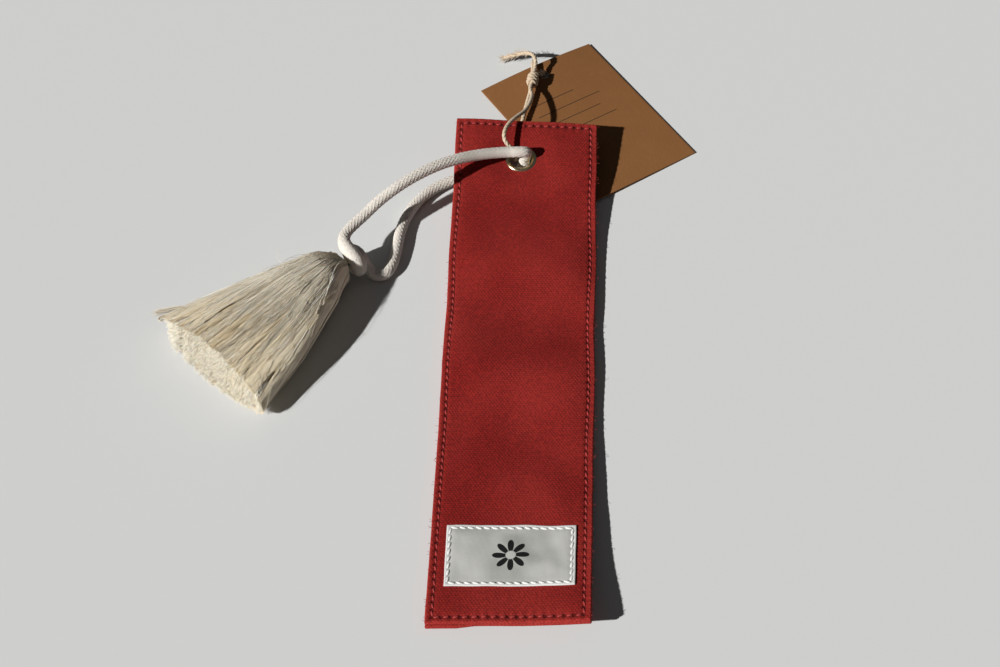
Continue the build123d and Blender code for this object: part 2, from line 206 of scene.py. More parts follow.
class Graph:
    """Node tree of one material."""

    def __init__(self, name: str) -> None:
        """Makes an empty material.

        Args:
            name: name of the material.
        """
        self.material = bpy.data.materials.new(name)
        self.material.use_nodes = True
        self.tree = self.material.node_tree
        self.tree.nodes.clear()

    def node(self, kind: str, settings: dict[str, Any] | None = None,
             inputs: dict[Any, Any] | None = None) -> bpy.types.Node:
        """Adds a node.

        Args:
            kind: type of the node.
            settings: its own properties by name.
            inputs: values or wires by socket name or number.

        Returns:
            The new node.
        """
        made = self.tree.nodes.new(kind)
        for name, value in (settings or {}).items():
            setattr(made, name, value)
        for name, value in (inputs or {}).items():
            if isinstance(value, Wire):
                self.tree.links.new(value.socket, made.inputs[name])
            else:
                made.inputs[name].default_value = value
        return made

    def out(self, made: bpy.types.Node, name: Any) -> Wire:
        """Wire from an output of a node."""
        return Wire(self, made.outputs[name])

    def math(self, operation: str, *values: Any) -> Wire:
        """Wire from a Math node on some values."""
        made = self.node("ShaderNodeMath", {"operation": operation}, dict(enumerate(values)))
        return self.out(made, 0)

    def place(self) -> Wire:
        """Object coordinates."""
        return self.out(self.node("ShaderNodeTexCoord"), "Object")

    def mapped(self, where: Wire, **inputs: Any) -> Wire:
        """Coordinates from a Mapping node."""
        return self.out(self.node("ShaderNodeMapping", inputs={"Vector": where, **inputs}), 0)

    def plan(self, where: Wire) -> tuple[Wire, Wire]:
        """First two coordinates of a place."""
        split = self.node("ShaderNodeSeparateXYZ", inputs={0: where})
        return self.out(split, 0), self.out(split, 1)

    def cloth(self) -> tuple[Wire, Wire]:
        """Place in the cloth's own pattern.

        Returns:
            Millimetres across and along.
        """
        made = self.node("ShaderNodeUVMap", {"uv_map": PATTERN_MAP})
        across, along = self.plan(self.out(made, 0))
        return across * PATTERN_SIZE - PATTERN_SIZE / 2, along * PATTERN_SIZE

    def turned(self, angle: float, scale: Sequence[float]) -> Wire:
        """Object coordinates turned about the upright and stretched.

        Args:
            angle: turn in degrees.
            scale: stretch along each turned axis.

        Returns:
            The new coordinates.
        """
        turn = self.mapped(self.place(), Rotation=(0, 0, -math.radians(angle)))
        return self.mapped(turn, Scale=tuple(scale))

    def noise(self, scale: float, detail: float = 2.0, where: Wire | None = None) -> Wire:
        """Soft noise from 0 to 1.

        Args:
            scale: blobs per metre, or per unit of where.
            detail: octaves.
            where: coordinates, or the object's own.

        Returns:
            The noise value.
        """
        inputs = {"Vector": where or self.place(), "Scale": scale, "Detail": detail}
        return self.out(self.node("ShaderNodeTexNoise", inputs=inputs), 0)

    def mix(self, factor: Any, first: Any, second: Any) -> Wire:
        """Colour between two colours.

        Args:
            factor: 0 for the first, 1 for the second.
            first: colour or wire.
            second: colour or wire.

        Returns:
            The mixed colour.
        """
        inputs = {0: factor, MIX_FIRST: rgba(first), MIX_SECOND: rgba(second)}
        return self.out(self.node("ShaderNodeMix", {"data_type": "RGBA"}, inputs), MIX_RESULT)

    def bump(self, height: Wire, depth: float, strength: float = 1.0) -> Wire:
        """Normal from a height.

        Args:
            height: height from 0 to 1.
            depth: depth of a height of 1, in metres.
            strength: share of the effect.

        Returns:
            The bent normal.
        """
        inputs = {"Height": height, "Distance": depth, "Strength": strength}
        return self.out(self.node("ShaderNodeBump", inputs=inputs), 0)

    def surface(self, **inputs: Any) -> bpy.types.Material:
        """Ends the tree in a Principled shader.

        Args:
            inputs: sockets by name, with _ for a space.

        Returns:
            The finished material.
        """
        named = {name.replace("_", " "): value for name, value in inputs.items()}
        shader = self.node("ShaderNodeBsdfPrincipled", inputs=named)
        self.node("ShaderNodeOutputMaterial", inputs={0: self.out(shader, 0)})
        return self.material


def rgba(colour: Any) -> Any:
    """Colour with an alpha of 1, or the wire as it is."""
    return colour if isinstance(colour, Wire) else (*colour, 1.0)


@dataclass(frozen=True)
class CanvasFinish:
    """Dyed plain-woven canvas, with painted shade in its weave's low places and needle holes and a painted
    highlight that makes it paler along its folded edges.
    """

    name: str = "canvas"
    face: Colour = (0.285, 0.0118, 0.0086)
    cloth_painted_shade: Colour = (0.066, 0.0024, 0.0020)
    wear_and_highlight: Colour = (0.430, 0.040, 0.031)
    warp: float = 0.485
    weft: float = 0.735
    half: float = 22.5
    length: float = 185.0
    seam: float = 1.95
    pitch: float = 2.45
    relief: float = 0.00013

    def holes(self, across: Wire, along: Wire, inset: Wire, beside: Wire) -> Wire:
        """Mask of the needle holes of the edge seam.

        Args:
            across: millimetres across the cloth.
            along: millimetres along the cloth.
            inset: distance from the nearest edge.
            beside: 1 where a long side is nearest and 0 where an end is.

        Returns:
            1 in a hole and 0 away from the seam.
        """
        rows = (along - self.seam) / stitch_step(self.length - 2 * self.seam, self.pitch)
        ends = (across + self.half - self.seam) / stitch_step(2 * (self.half - self.seam), self.pitch)
        beat = (rows * beside + ends * (1 - beside)).wave() ** 3
        line = 1 - (inset - self.seam).math("ABSOLUTE").between(0.15, 0.75)
        return line * (beat * 0.75 + 0.25)

    def weave(self, graph: Graph, across: Wire, along: Wire) -> Wire:
        """Height of the plain weave, with the slant that its twisted yarns give.

        Args:
            graph: the material's graph.
            across: millimetres across the cloth.
            along: millimetres along the cloth.

        Returns:
            Height from 0 to 1.
        """
        slub = graph.noise(380.0, 3.0) * 0.35
        warp = across / self.warp + slub
        weft = along / self.weft + slub
        crossing = (warp * math.pi).math("SINE") * (weft * math.pi).math("SINE")
        return crossing * 0.2 + ((warp + weft) * 0.5).wave() * 0.46 + weft.wave() * 0.28 + 0.05

    def material(self) -> bpy.types.Material:
        """Builds the cloth's node tree.

        Returns:
            The material.
        """
        graph = Graph(self.name)
        across, along = graph.cloth()
        height = self.weave(graph, across, along)
        side = self.half - across.math("ABSOLUTE")
        end = along.math("MINIMUM", self.length - along)
        inset = side.math("MINIMUM", end)
        holes = self.holes(across, along, inset, side.math("LESS_THAN", end))
        cloudy = graph.noise(38.0, 3.0).between(0.3, 0.7)
        speck = graph.noise(1500.0, 2.0).between(0.3, 0.75)
        # Painted shade and highlight: the colour follows the weave's height, darker in its low places and
        # lighter on its slanted ridges.
        base = graph.mix(height * 0.8 + speck * 0.45, self.cloth_painted_shade, self.face)
        # Paler patches at random, as wear.
        base = graph.mix(cloudy * 0.2 + speck * cloudy * 0.12, base, self.wear_and_highlight)
        # Painted highlight: a paler band along the folded edges.
        edge = 1 - inset.between(0.2, 1.5)
        base = graph.mix(edge * (speck * 0.3 + 0.2), base, self.wear_and_highlight)
        # Painted shade: the needle holes of the seam are darkened in colour.
        base = graph.mix(holes * 0.7, base, tuple(value * 0.3 for value in self.cloth_painted_shade))
        normal = graph.bump(height + speck * 0.4 - holes * 1.5, self.relief, 0.9)
        return graph.surface(Base_Color=base, Roughness=0.88, Normal=normal, Sheen_Weight=0.05,
                             Sheen_Roughness=0.45, Sheen_Tint=(0.9, 0.4, 0.36, 1), Specular_IOR_Level=0.2)


@dataclass(frozen=True)
class ThreadFinish:
    """Twisted sewing thread."""

    name: str
    light: Colour
    dark: Colour
    twist: float = 2600.0

    def material(self) -> bpy.types.Material:
        """Builds the thread's node tree.

        Returns:
            The material.
        """
        graph = Graph(self.name)
        ply = graph.noise(self.twist, 2.0, graph.turned(28.0, (1.0, 0.35, 1.0)))
        shade = graph.noise(300.0, 2.0) * 0.5 + ply * 0.5
        base = graph.mix(shade.between(0.3, 0.7), self.dark, self.light)
        return graph.surface(Base_Color=base, Roughness=0.62, Normal=graph.bump(ply, 0.00008, 0.7),
                             Sheen_Weight=0.08)


@dataclass(frozen=True)
class SatinFinish:
    """White satin ribbon with a woven black rosette."""

    name: str = "satin"
    face: Colour = (0.500, 0.500, 0.480)
    low: Colour = (0.350, 0.352, 0.330)
    rim: Colour = (0.720, 0.720, 0.705)
    ink: Colour = (0.006, 0.006, 0.006)
    pitch: float = 0.32
    middle: tuple[float, float] = (0.0, 0.0)
    half: tuple[float, float] = (18.0, 10.25)
    petal: float = 5.2

    def material(self) -> bpy.types.Material:
        """Builds the ribbon's node tree.

        Returns:
            The material.
        """
        graph = Graph(self.name)
        across, along = graph.cloth()
        rib = (along / self.pitch + graph.noise(500.0) * 0.3).wave()
        ends = (across / self.pitch).wave()
        fibre = graph.noise(1.0, 3.0, graph.turned(0.0, (900.0, 4200.0, 900.0)))
        # Painted shade: soft darker clouds across the white face, towards the low colour.
        painted_shade_cloud = graph.noise(75.0, 1.0).between(0.3, 0.65)
        tone = rib * 0.15 + ends * 0.1 + fibre * 0.3 + painted_shade_cloud * 0.45
        base = graph.mix(tone.between(0.2, 0.8), self.low, self.face)
        side = self.half[0] - (across - self.middle[0]).math("ABSOLUTE")
        end = self.half[1] - (along - self.middle[1]).math("ABSOLUTE")
        bead = 1 - side.math("MINIMUM", end).between(0.55, 0.9)
        base = graph.mix(bead * (ends * 0.4 + 0.6), base, self.rim)
        base = graph.mix(self.rosette(graph, across, along), base, self.ink)
        normal = graph.bump(rib * 0.6 + ends * 0.4, 0.00005, 0.6)
        return graph.surface(Base_Color=base, Roughness=0.48, Normal=normal, Sheen_Weight=0.06,
                             Specular_IOR_Level=0.4)

    def rosette(self, graph: Graph, across: Wire, along: Wire) -> Wire:
        """Mask of a plain rosette of eight petals with a bare middle.

        Args:
            graph: the material's graph; not used.
            across: millimetres across the cloth.
            along: millimetres along the cloth.

        Returns:
            1 on the rosette and 0 off it.
        """
        x = across - self.middle[0]
        y = along - self.middle[1]
        reach = (x * x + y * y).math("SQRT")
        angle = y.math("ARCTAN2", x)
        leaf = (angle * 4.0).math("COSINE").math("ABSOLUTE") ** 0.6 * self.petal
        outer = (leaf - reach).between(0.0, 0.25)
        return outer * (reach - self.petal * 0.24).between(0.0, 0.25)


@dataclass(frozen=True)
class BrassFinish:
    """Pale polished brass with fine handling marks."""

    name: str = "brass"
    bright: Colour = (0.80, 0.68, 0.42)
    dull: Colour = (0.52, 0.40, 0.22)

    def material(self) -> bpy.types.Material:
        """Builds the metal's node tree.

        Returns:
            The material.
        """
        graph = Graph(self.name)
        stain = graph.noise(260.0, 4.0).between(0.45, 0.75)
        marks = graph.noise(1.0, 2.0, graph.turned(20.0, (6000.0, 400.0, 3000.0)))
        base = graph.mix(stain * 0.7, self.bright, self.dull)
        return graph.surface(Base_Color=base, Metallic=1.0, Roughness=stain * 0.22 + marks * 0.12 + 0.14,
                             Normal=graph.bump(marks, 0.00002, 0.35))


@dataclass(frozen=True)
class CottonFinish:
    """Undyed cotton in strands: cord, yarn or twine."""

    name: str
    light: Colour
    dark: Colour
    heading: float = 0.0
    fibre: Point = (2500.0, 2500.0, 2500.0)
    patch: float = 160.0
    depth: float = 0.00012
    glow: float = 0.0

    def material(self) -> bpy.types.Material:
        """Builds the cotton's node tree.

        Returns:
            The material.
        """
        graph = Graph(self.name)
        fibre = graph.noise(1.0, 3.0, graph.turned(self.heading, self.fibre))
        patch = graph.noise(self.patch, 3.0)
        tone = fibre * 0.55 + patch * 0.45
        base = graph.mix(tone.between(0.3, 0.68), self.dark, self.light)
        return graph.surface(Base_Color=base, Roughness=0.82, Normal=graph.bump(fibre, self.depth, 0.6),
                             Sheen_Weight=0.15, Sheen_Roughness=0.5, Specular_IOR_Level=0.25,
                             Subsurface_Weight=self.glow, Subsurface_Radius=(0.003, 0.0022, 0.0014))


@dataclass(frozen=True)
class FeltFinish:
    """Pressed felt of the hidden stiffener."""

    name: str = "felt"
    light: Colour = (0.72, 0.71, 0.68)
    dark: Colour = (0.55, 0.54, 0.51)

    def material(self) -> bpy.types.Material:
        """Builds the felt's node tree.

        Returns:
            The material.
        """
        graph = Graph(self.name)
        hair = graph.noise(1500.0, 4.0)
        return graph.surface(Base_Color=graph.mix(hair, self.dark, self.light), Roughness=0.95,
                             Normal=graph.bump(hair, 0.0002, 0.5))


@dataclass(frozen=True)
class KraftFinish:
    """Uncoated brown board with fibres and specks, ruled with a few plain lines."""

    name: str = "kraft"
    light: Colour = (0.262, 0.114, 0.038)
    dark: Colour = (0.188, 0.077, 0.023)
    fleck: Colour = (0.330, 0.175, 0.075)
    rule: Colour = (0.030, 0.016, 0.008)
    heading: float = 0.0
    corner: Vector = field(default_factory=Vector)
    rules: tuple[Point, ...] = ((30.0, 9.0, 33.0), (35.0, 9.0, 30.0), (40.0, 9.0, 33.0), (45.0, 9.0, 26.0))

    def material(self) -> bpy.types.Material:
        """Builds the board's node tree.

        Returns:
            The material.
        """
        graph = Graph(self.name)
        fibre = graph.noise(1.0, 4.0, graph.turned(self.heading + 70.0, (2600.0, 420.0, 900.0)))
        blotch = graph.noise(90.0, 4.0)
        speck = graph.noise(1500.0, 2.0).between(0.66, 0.78)
        base = graph.mix(fibre * 0.5 + blotch * 0.5, self.dark, self.light)
        base = graph.mix(speck * 0.6, base, self.fleck)
        base = graph.mix(self.ruling(graph) * (fibre * 0.5 + 0.6), base, self.rule)
        return graph.surface(Base_Color=base, Roughness=0.78, Normal=graph.bump(fibre + blotch, 0.00006, 0.5),
                             Specular_IOR_Level=0.3)

    def ruling(self, graph: Graph) -> Wire:
        """Mask of the thin ruled lines.

        Args:
            graph: the material's graph.

        Returns:
            1 on a line and 0 off it.
        """
        shift = graph.mapped(graph.place(), Location=-self.corner)
        along, across = graph.plan(graph.mapped(shift, Rotation=(0, 0, -math.radians(self.heading))))
        along = along / MM
        across = across / MM * -1.0
        mask: Any = 0.0
        for row, start, stop in self.rules:
            near = 1 - (along - row).math("ABSOLUTE").between(0.12, 0.22)
            mask = near * (across - start).between(0.0, 0.2) * (stop - across).between(0.0, 0.2) + mask
        return mask


@dataclass(frozen=True)
class TableFinish:
    """Matt pale table top."""

    name: str = "table"
    colour: Colour = (0.635, 0.642, 0.640)
    grain: Colour = (0.5, 0.5, 0.5)

    def material(self) -> bpy.types.Material:
        """Builds the table's node tree.

        Returns:
            The material.
        """
        graph = Graph(self.name)
        grain = graph.noise(900.0, 3.0)
        base = graph.mix(grain * 0.05, self.colour, self.grain)
        return graph.surface(Base_Color=base, Roughness=0.7, Specular_IOR_Level=0.2)


def link(name: str, data: Any) -> bpy.types.Object:
    """New object in the scene.

    Args:
        name: name of the object.
        data: its mesh, lamp or camera.

    Returns:
        The object.
    """
    made = bpy.data.objects.new(name, data)
    bpy.context.scene.collection.objects.link(made)
    return made


def add_piece(name: str, mesh: bpy.types.Mesh, finish: bpy.types.Material, body: Body,
              nodes: Sequence[str] = ()) -> bpy.types.Object:
    """Puts a finished mesh into the scene.

    Args:
        name: name of the piece.
        mesh: its mesh, in metres, in the shared frame.
        finish: material that it gets.
        body: body that it moves with.
        nodes: CAD nodes that it takes the place of.

    Returns:
        The new object.
    """
    made = link(name, mesh)
    mesh.materials.clear()
    mesh.materials.append(finish)
    for face in mesh.polygons:
        face.use_smooth = True
    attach(made, body.value)
    if nodes:
        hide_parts(*nodes)
    LOG.info("%s: %d faces, rides on %s", name, len(mesh.polygons), body.value)
    return made


def to_mesh(name: str, shape: bmesh.types.BMesh) -> bpy.types.Mesh:
    """Turns a bmesh into a mesh.

    Args:
        name: name of the mesh.
        shape: the bmesh, which is freed.

    Returns:
        The mesh.
    """
    mesh = bpy.data.meshes.new(name)
    shape.to_mesh(mesh)
    shape.free()
    return mesh


def join(name: str, meshes: Iterable[bpy.types.Mesh]) -> bpy.types.Mesh:
    """Makes one mesh from several.

    Args:
        name: name of the mesh.
        meshes: what it is made from.

    Returns:
        The mesh.
    """
    shape = bmesh.new()
    for mesh in meshes:
        shape.from_mesh(mesh)
    return to_mesh(name, shape)


def new_curve(name: str) -> bpy.types.Curve:
    """Empty curve in space.

    Args:
        name: name of the curve.

    Returns:
        The curve.
    """
    curve = bpy.data.curves.new(name, "CURVE")
    curve.dimensions = "3D"
    return curve


def curve_mesh(curve: bpy.types.Curve) -> bpy.types.Mesh:
    """Turns a curve into a mesh.

    Args:
        curve: the curve, which is removed.

    Returns:
        The mesh.
    """
    holder = bpy.data.objects.new(curve.name, curve)
    mesh = bpy.data.meshes.new_from_object(holder)
    bpy.data.objects.remove(holder)
    bpy.data.curves.remove(curve)
    return mesh


def tubes(name: str, lines: Sequence[Sequence[Vector]], radius: float, sides: int = 1,
          swell: Callable[[float], float] | None = None) -> bpy.types.Mesh:
    """Round strands along given lines.

    Args:
        name: name of the mesh.
        lines: points of each strand, in metres.
        radius: radius of a strand, in metres.
        sides: bevel resolution, 0 for four sides and 1 for six.
        swell: share of the radius at a share of the way along.

    Returns:
        A mesh of closed tubes.
    """
    curve = new_curve(name)
    curve.bevel_depth = radius
    curve.bevel_resolution = sides
    curve.use_fill_caps = True
    for line in lines:
        spline = curve.splines.new("POLY")
        spline.points.add(len(line) - 1)
        for i, point in enumerate(line):
            spline.points[i].co = (*point, 1.0)
            if swell:
                spline.points[i].radius = swell(i / (len(line) - 1))
    return curve_mesh(curve)


def smooth_line(route: Sequence[Vector]) -> Line:
    """Points of the smooth spline that has the route's points as its controls.

    Args:
        route: control points, in metres.

    Returns:
        Points along the spline.
    """
    curve = new_curve("route")
    curve.resolution_u = 20
    spline = curve.splines.new("NURBS")
    spline.points.add(len(route) - 1)
    for control, place in zip(spline.points, route):
        control.co = (*place, 1.0)
    spline.order_u = 3
    spline.use_endpoint_u = True
    mesh = curve_mesh(curve)
    points = [vertex.co.copy() for vertex in mesh.vertices]
    bpy.data.meshes.remove(mesh)
    return points


class Thread:
    """Centre line with frames that don't turn about it."""

    FIRST_SIDE = Vector((0.3, 0.4, 0.86))
    TINY = 1e-9

    def __init__(self, points: Sequence[Vector], step: float) -> None:
        """Spaces the points evenly and carries a frame along them.

        Args:
            points: points of the line, in metres.
            step: distance between points wanted, in metres.
        """
        self.points = self.spaced(points, step)
        self.length = sum((b - a).length for a, b in zip(self.points, self.points[1:]))
        self.step = self.length / (len(self.points) - 1)
        self.sides: list[tuple[Vector, Vector]] = []
        side = self.FIRST_SIDE
        for i in range(len(self.points)):
            ahead = self.points[min(i + 1, len(self.points) - 1)]
            behind = self.points[max(i - 1, 0)]
            tangent = (ahead - behind).normalized()
            side = (side - tangent * side.dot(tangent)).normalized()
            self.sides.append((side, tangent.cross(side)))

    @staticmethod
    def spaced(points: Sequence[Vector], step: float) -> Line:
        """Points at even distances along a line.

        Args:
            points: points of the line.
            step: distance wanted, in metres.

        Returns:
            The new points, with both ends kept.
        """
        reach = [0.0]
        for a, b in zip(points, points[1:]):
            reach.append(reach[-1] + (b - a).length)
        count = max(2, round(reach[-1] / step))
        made = []
        leg = 0
        for i in range(count + 1):
            mark = reach[-1] * i / count
            while leg < len(points) - 2 and reach[leg + 1] < mark:
                leg += 1
            span = max(reach[leg + 1] - reach[leg], Thread.TINY)
            made.append(points[leg].lerp(points[leg + 1], min((mark - reach[leg]) / span, 1.0)))
        return made

    def around(self, index: int, angle: float, radius: float) -> Vector:
        """Point beside the line.

        Args:
            index: number of the point on the line.
            angle: angle about the line, in radians.
            radius: distance from the line, in metres.

        Returns:
            The point.
        """
        first, second = self.sides[index]
        return self.points[index] + (first * math.cos(angle) + second * math.sin(angle)) * radius


@dataclass
class Lie:
    """How the strip lies on the table; stations and heights are in millimetres."""

    width: float = 45.0
    length: float = 185.0
    thickness: float = 2.0
    curl_length: float = 80.0
    curl_angle: float = 4.3
    bend_length: float = 26.0
    ramp_length: float = 38.0
    ramp_angle: float = 8.0
    eyelet_x: float = -1.4
    eyelet_from_end: float = 14.6
    twist_top: float = 1.3
    twist_low: float = 0.9
    twist_to: float = 70.0
    twist_from: float = 110.0
    wave_height: float = 0.9
    wave_length: float = 46.0
    wave_crest: float = 132.5
    wave_place: tuple[float, float] = (112.0, 62.0)
    corner_lift: float = 0.9
    calm: tuple[float, float] = (5.4, 7.0)

    def rise(self, s: float) -> tuple[float, float]:
        """Place of the plain underside.

        Args:
            s: station from the label end.

        Returns:
            Distance from the start of the flat, and height.
        """
        flat = self.length - self.curl_length - self.bend_length - self.ramp_length
        if s < self.curl_length:
            radius = self.curl_length / math.radians(self.curl_angle)
            slope = (s - self.curl_length) / radius
            return radius * math.sin(slope), radius * (1 - math.cos(slope))
        if s <= self.curl_length + flat:
            return s - self.curl_length, 0.0
        radius = self.bend_length / math.radians(self.ramp_angle)
        bent = s - self.curl_length - flat
        slope = min(bent / radius, math.radians(self.ramp_angle))
        ramp = max(bent - self.bend_length, 0.0)
        y = flat + radius * math.sin(slope) + ramp * math.cos(slope)
        return y, radius * (1 - math.cos(slope)) + ramp * math.sin(slope)

    def shift(self) -> float:
        """Distance that centres the strip on the frame."""
        return -(self.rise(0.0)[0] + self.rise(self.length)[0]) / 2

    def ripple(self, x: float, s: float) -> float:
        """Height of the cloth's own waves and twist, which fade at the eyelet.

        Args:
            x: place across.
            s: station from the label end.

        Returns:
            Height in millimetres.
        """
        side = 2 * x / self.width
        top = max(0.0, (s - self.twist_from) / (self.length - self.twist_from)) ** 1.4
        low = max(0.0, (self.twist_to - s) / self.twist_to) ** 1.5
        twist = side * (self.twist_low * low - self.twist_top * top)
        phase = math.tau * (s - self.wave_crest) / self.wave_length + 0.5 * side
        bands = self.wave_height * (1 + math.cos(phase))
        bands *= bell(s, *self.wave_place) * (1 - 0.8 * clamp((abs(side) - 0.5) / 0.5) ** 2)
        corner = self.corner_lift * max(side, 0.0) ** 2 * low
        edge = 0.3 * side**2 * (1 + math.sin(s / 9.0 + 2.0 * side)) * 0.5
        edge += 0.25 * (noise.noise(Vector((x / 11.0, s / 17.0, 2.0))) + 0.5)
        far = math.hypot(x - self.eyelet_x, s - self.length + self.eyelet_from_end)
        return (twist + bands + corner + edge) * ease(clamp((far - self.calm[0]) / self.calm[1]))

    def skin(self, x: float, s: float) -> Vector:
        """Point of the underside, in millimetres."""
        y, z = self.rise(s)
        return Vector((x, y + self.shift(), z + self.ripple(x, s)))

    def frame(self, x: float, s: float, height: float) -> Matrix:
        """Local frame on the strip, with X across, Y along and Z off the cloth.

        Args:
            x: place across.
            s: station from the label end.
            height: height above the underside.

        Returns:
            Matrix from local millimetres to metres in the shared frame.
        """
        step = 0.2
        across = (self.skin(x + step, s) - self.skin(x - step, s)).normalized()
        along = (self.skin(x, s + step) - self.skin(x, s - step)).normalized()
        normal = across.cross(along).normalized()
        along = normal.cross(across)
        turn = Matrix((across, along, normal)).transposed().to_4x4()
        place = Matrix.Translation(self.skin(x, s) + normal * height)
        return Matrix.Scale(MM, 4) @ place @ turn

    def point(self, x: float, s: float, height: float) -> Vector:
        """Point at a height above the strip's underside, in metres."""
        return self.frame(x, s, height).translation

    def eyelet(self) -> Vector:
        """Middle of the eyelet's bore, in millimetres."""
        s = self.length - self.eyelet_from_end
        return self.point(self.eyelet_x, s, self.thickness / 2) / MM


@dataclass
class Slab:
    """Rectangle of cloth in its own pattern: sides, ends and heights in millimetres."""

    sides: tuple[float, float]
    ends: tuple[float, float]
    heights: tuple[float, float]
    cell: float = 0.62
    rounding: float = 0.4

    def inset(self, x: float, s: float) -> float:
        """Distance from the nearest edge."""
        return min(x - self.sides[0], self.sides[1] - x, s - self.ends[0], self.ends[1] - s)

    def mesh(self, name: str, shape: Callable[[float, float, float], Vector]) -> bpy.types.Mesh:
        """Builds the slab flat, rounds its edges and lays it in place.

        Args:
            name: name of the mesh.
            shape: place in metres from pattern x, station and height.

        Returns:
            A closed mesh with the pattern as its UV map.
        """
        across = self.sides[1] - self.sides[0]
        along = self.ends[1] - self.ends[0]
        cloth = bmesh.new()
        cells = (round(across / self.cell), round(along / self.cell))
        bmesh.ops.create_grid(cloth, x_segments=cells[0], y_segments=cells[1], size=0.5)
        bmesh.ops.scale(cloth, vec=(across, along, 1.0), verts=cloth.verts)
        middle = (sum(self.sides) / 2, sum(self.ends) / 2, self.heights[0])
        bmesh.ops.translate(cloth, vec=middle, verts=cloth.verts)
        made = bmesh.ops.extrude_face_region(cloth, geom=cloth.faces[:])
        raised = [item for item in made["geom"] if isinstance(item, bmesh.types.BMVert)]
        bmesh.ops.translate(cloth, vec=(0, 0, self.heights[1] - self.heights[0]), verts=raised)
        bmesh.ops.recalc_face_normals(cloth, faces=cloth.faces)
        rim = [edge for edge in cloth.edges if edge.calc_face_angle(0.0) > 1.0]
        bmesh.ops.bevel(cloth, geom=rim, offset=self.rounding, segments=3, profile=0.5, affect="EDGES",
                        material=-1, offset_type="OFFSET", clamp_overlap=True)
        pattern = cloth.loops.layers.uv.new(PATTERN_MAP)
        for face in cloth.faces:
            for loop in face.loops:
                x, s, _ = loop.vert.co
                loop[pattern].uv = (x / PATTERN_SIZE + 0.5, s / PATTERN_SIZE)
        for vertex in cloth.verts:
            vertex.co = shape(*vertex.co)
        bmesh.ops.recalc_face_normals(cloth, faces=cloth.faces)
        return to_mesh(name, cloth)


def punch(mesh: bpy.types.Mesh, centre: Vector, radius: float) -> None:
    """Cuts an upright round hole through a sheet.

    Args:
        mesh: the sheet's mesh, in metres.
        centre: middle of the hole, in millimetres.
        radius: radius of the hole, in millimetres.
    """
    margin = 0.1
    shape = bmesh.new()
    shape.from_mesh(mesh)
    gone = [vertex for vertex in shape.verts
            if math.hypot(vertex.co.x / MM - centre.x, vertex.co.y / MM - centre.y) < radius - margin]
    bmesh.ops.delete(shape, geom=gone, context="VERTS")
    rims = [edge for edge in shape.edges if edge.is_boundary]
    for vertex in {vertex for edge in rims for vertex in edge.verts}:
        out = Vector((vertex.co.x / MM - centre.x, vertex.co.y / MM - centre.y)).normalized() * radius
        vertex.co.x = (centre.x + out.x) * MM
        vertex.co.y = (centre.y + out.y) * MM
    bmesh.ops.bridge_loops(shape, edges=rims)
    bmesh.ops.recalc_face_normals(shape, faces=shape.faces)
    shape.to_mesh(mesh)
    shape.free()


